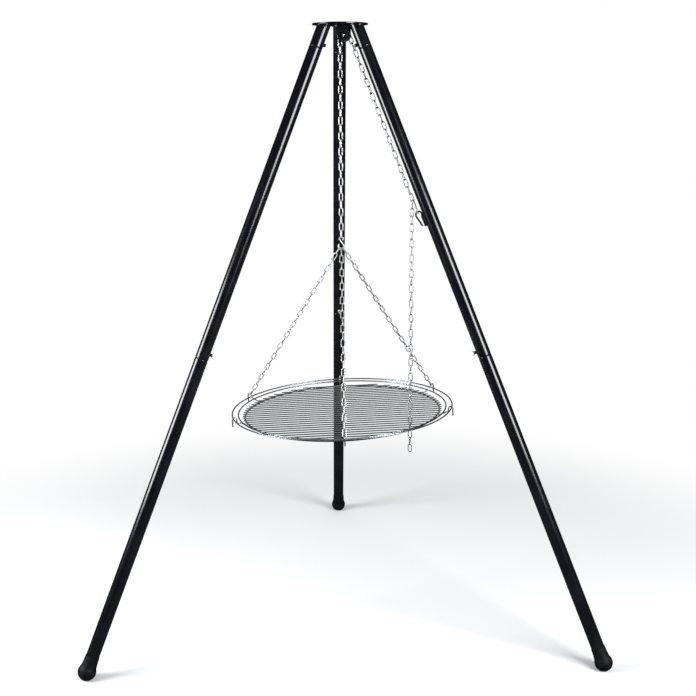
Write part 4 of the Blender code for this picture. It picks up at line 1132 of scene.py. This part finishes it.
def mark_welds(shape, spots, reach):
    """Store how near each point is to a weld, for the heat tint."""
    layer = shape.verts.layers.float.new("weld")
    for corner in shape.verts:
        nearest = min((corner.co - spot).length for spot in spots)
        corner[layer] = max(0.0, 1 - nearest / reach)


def weld_nugget(shape, centre, radius, height):
    """Flattened drop of metal where two wires are spot welded."""
    made = bmesh.ops.create_uvsphere(
        shape, u_segments=NUGGET_SEGMENTS, v_segments=NUGGET_RINGS, radius=1)["verts"]
    bmesh.ops.scale(shape, vec=(radius, radius, height), verts=made)
    bmesh.ops.translate(shape, vec=centre, verts=made)


def place_nuggets(name, shape, material):
    """The nuggets of one node's welds, tinted all over."""
    layer = shape.verts.layers.float.new("weld")
    for corner in shape.verts:
        corner[layer] = NUGGET_TINT
    beside(place(name, shape, material, grate_place), "grate")


BAR_METAL = drawn_wire("drawn_bar_wire", ALONG_BARS)
RING_METAL = drawn_wire("drawn_ring_wire", EVEN)
grate_place = Matrix.Translation((0, AXIS_Y, GRATE_HEIGHT)) @ Matrix.Rotation(-GRATE_TILT, 4, "Y")

bars = []  # offset from the middle, half length, distance out to the edge ring's middle
for i in range(-BARS_EACH_SIDE, BARS_EACH_SIDE + 1):
    offset = i * BAR_PITCH
    half, seat = [sqrt(radius ** 2 - offset ** 2) for radius in (EDGE_RADIUS + BAR_OVERHANG, EDGE_RADIUS)]
    bars.append((offset, half, seat))
bar_ends = [(turn * seat, offset) for offset, _, seat in bars for turn in (-1, 1)]

for name, (node, radius, wire, level) in RINGS.items():
    path = [(x, y, level) for x, y in circle(radius, RING_SEGMENTS)]
    shape = tube_along(bmesh.new(), path, wire, WIRE_SIDES, True)
    if node == "edge_ring":
        spots = [Vector((x, y, 0)) for x, y in bar_ends]
    else:
        spots = [Vector((radius * cos(radians(a)), radius * sin(radians(a)), level))
                 for a in UPRIGHTS.values()]
    mark_welds(shape, spots, RING_TINT)
    stand_for(place(name, shape, RING_METAL, grate_place), node, "grate")

shape = bmesh.new()
for offset, half, _ in bars:
    path = [(half * stop, offset, BAR_LEVEL) for stop in BAR_STOPS]
    tube_along(shape, path, BAR_WIRE, WIRE_SIDES, first=Z_AXIS)
path = [(0, CROSS_HALF * step / CROSS_STEPS, CROSS_LEVEL) for step in range(-CROSS_STEPS, CROSS_STEPS + 1)]
tube_along(shape, path, CROSS_WIRE, WIRE_SIDES)
spots = [Vector((x, y, BAR_LEVEL)) for x, y in bar_ends]
spots += [Vector((0, offset, BAR_LEVEL)) for offset, _, _ in bars]
mark_welds(shape, spots, RING_TINT)
stand_for(place("grate_grid", shape, BAR_METAL, grate_place), "grate_bars", "grate")

shape = bmesh.new()
for offset, _, seat in bars:
    for turn in (-1, 1):
        weld_nugget(shape, (turn * seat, offset, EDGE_WIRE + GAP / 2), *EDGE_NUGGET)
    weld_nugget(shape, (0, offset, BAR_LEVEL - BAR_WIRE), *CROSS_NUGGET)
place_nuggets("weld_grid_spots", shape, BAR_METAL)

inward = (UPRIGHT_FOOT - UPRIGHT_KNEE).normalized()
outline = [
    UPRIGHT_FOOT, UPRIGHT_KNEE + inward * KNEE_START, UPRIGHT_KNEE + inward * KNEE_MIDDLE + KNEE_LIFT,
    UPRIGHT_KNEE + KNEE_END, *arc(ARCH_RADIUS, pi, 0, ARCH_STEPS, UPRIGHT_ARCH),
    *[UPRIGHT_ARCH + Vector((ARCH_RADIUS, -ARCH_TIP * share)) for share in ARCH_TIP_STOPS],
]
for node, azimuth in UPRIGHTS.items():
    outward = Vector((cos(radians(azimuth)), sin(radians(azimuth)), 0))
    points = [outward * reach + Z_AXIS * level for reach, level in outline]
    shape = tube_along(bmesh.new(), points, RIM_WIRE, WIRE_SIDES, first=outward.cross(Z_AXIS))
    middle, top = outward * MIDDLE_RADIUS, outward * TOP_RADIUS + Z_AXIS * TOP_LEVEL
    spots = [outward * EDGE_RADIUS, middle + Z_AXIS * MIDDLE_LEVEL, top]
    mark_welds(shape, spots, UPRIGHT_TINT)
    stand_for(place("bent_" + node, shape, RING_METAL, grate_place), node, "grate")
    shape = bmesh.new()
    weld_nugget(shape, outward * (EDGE_RADIUS + EDGE_WIRE + FOOT_NUGGET_OUT), *FOOT_NUGGET)
    weld_nugget(shape, middle + Z_AXIS * (MIDDLE_LEVEL - RIM_WIRE), *MIDDLE_NUGGET)
    weld_nugget(shape, top - outward * RIM_WIRE, *TOP_NUGGET)
    place_nuggets("weld_" + node, shape, RING_METAL)
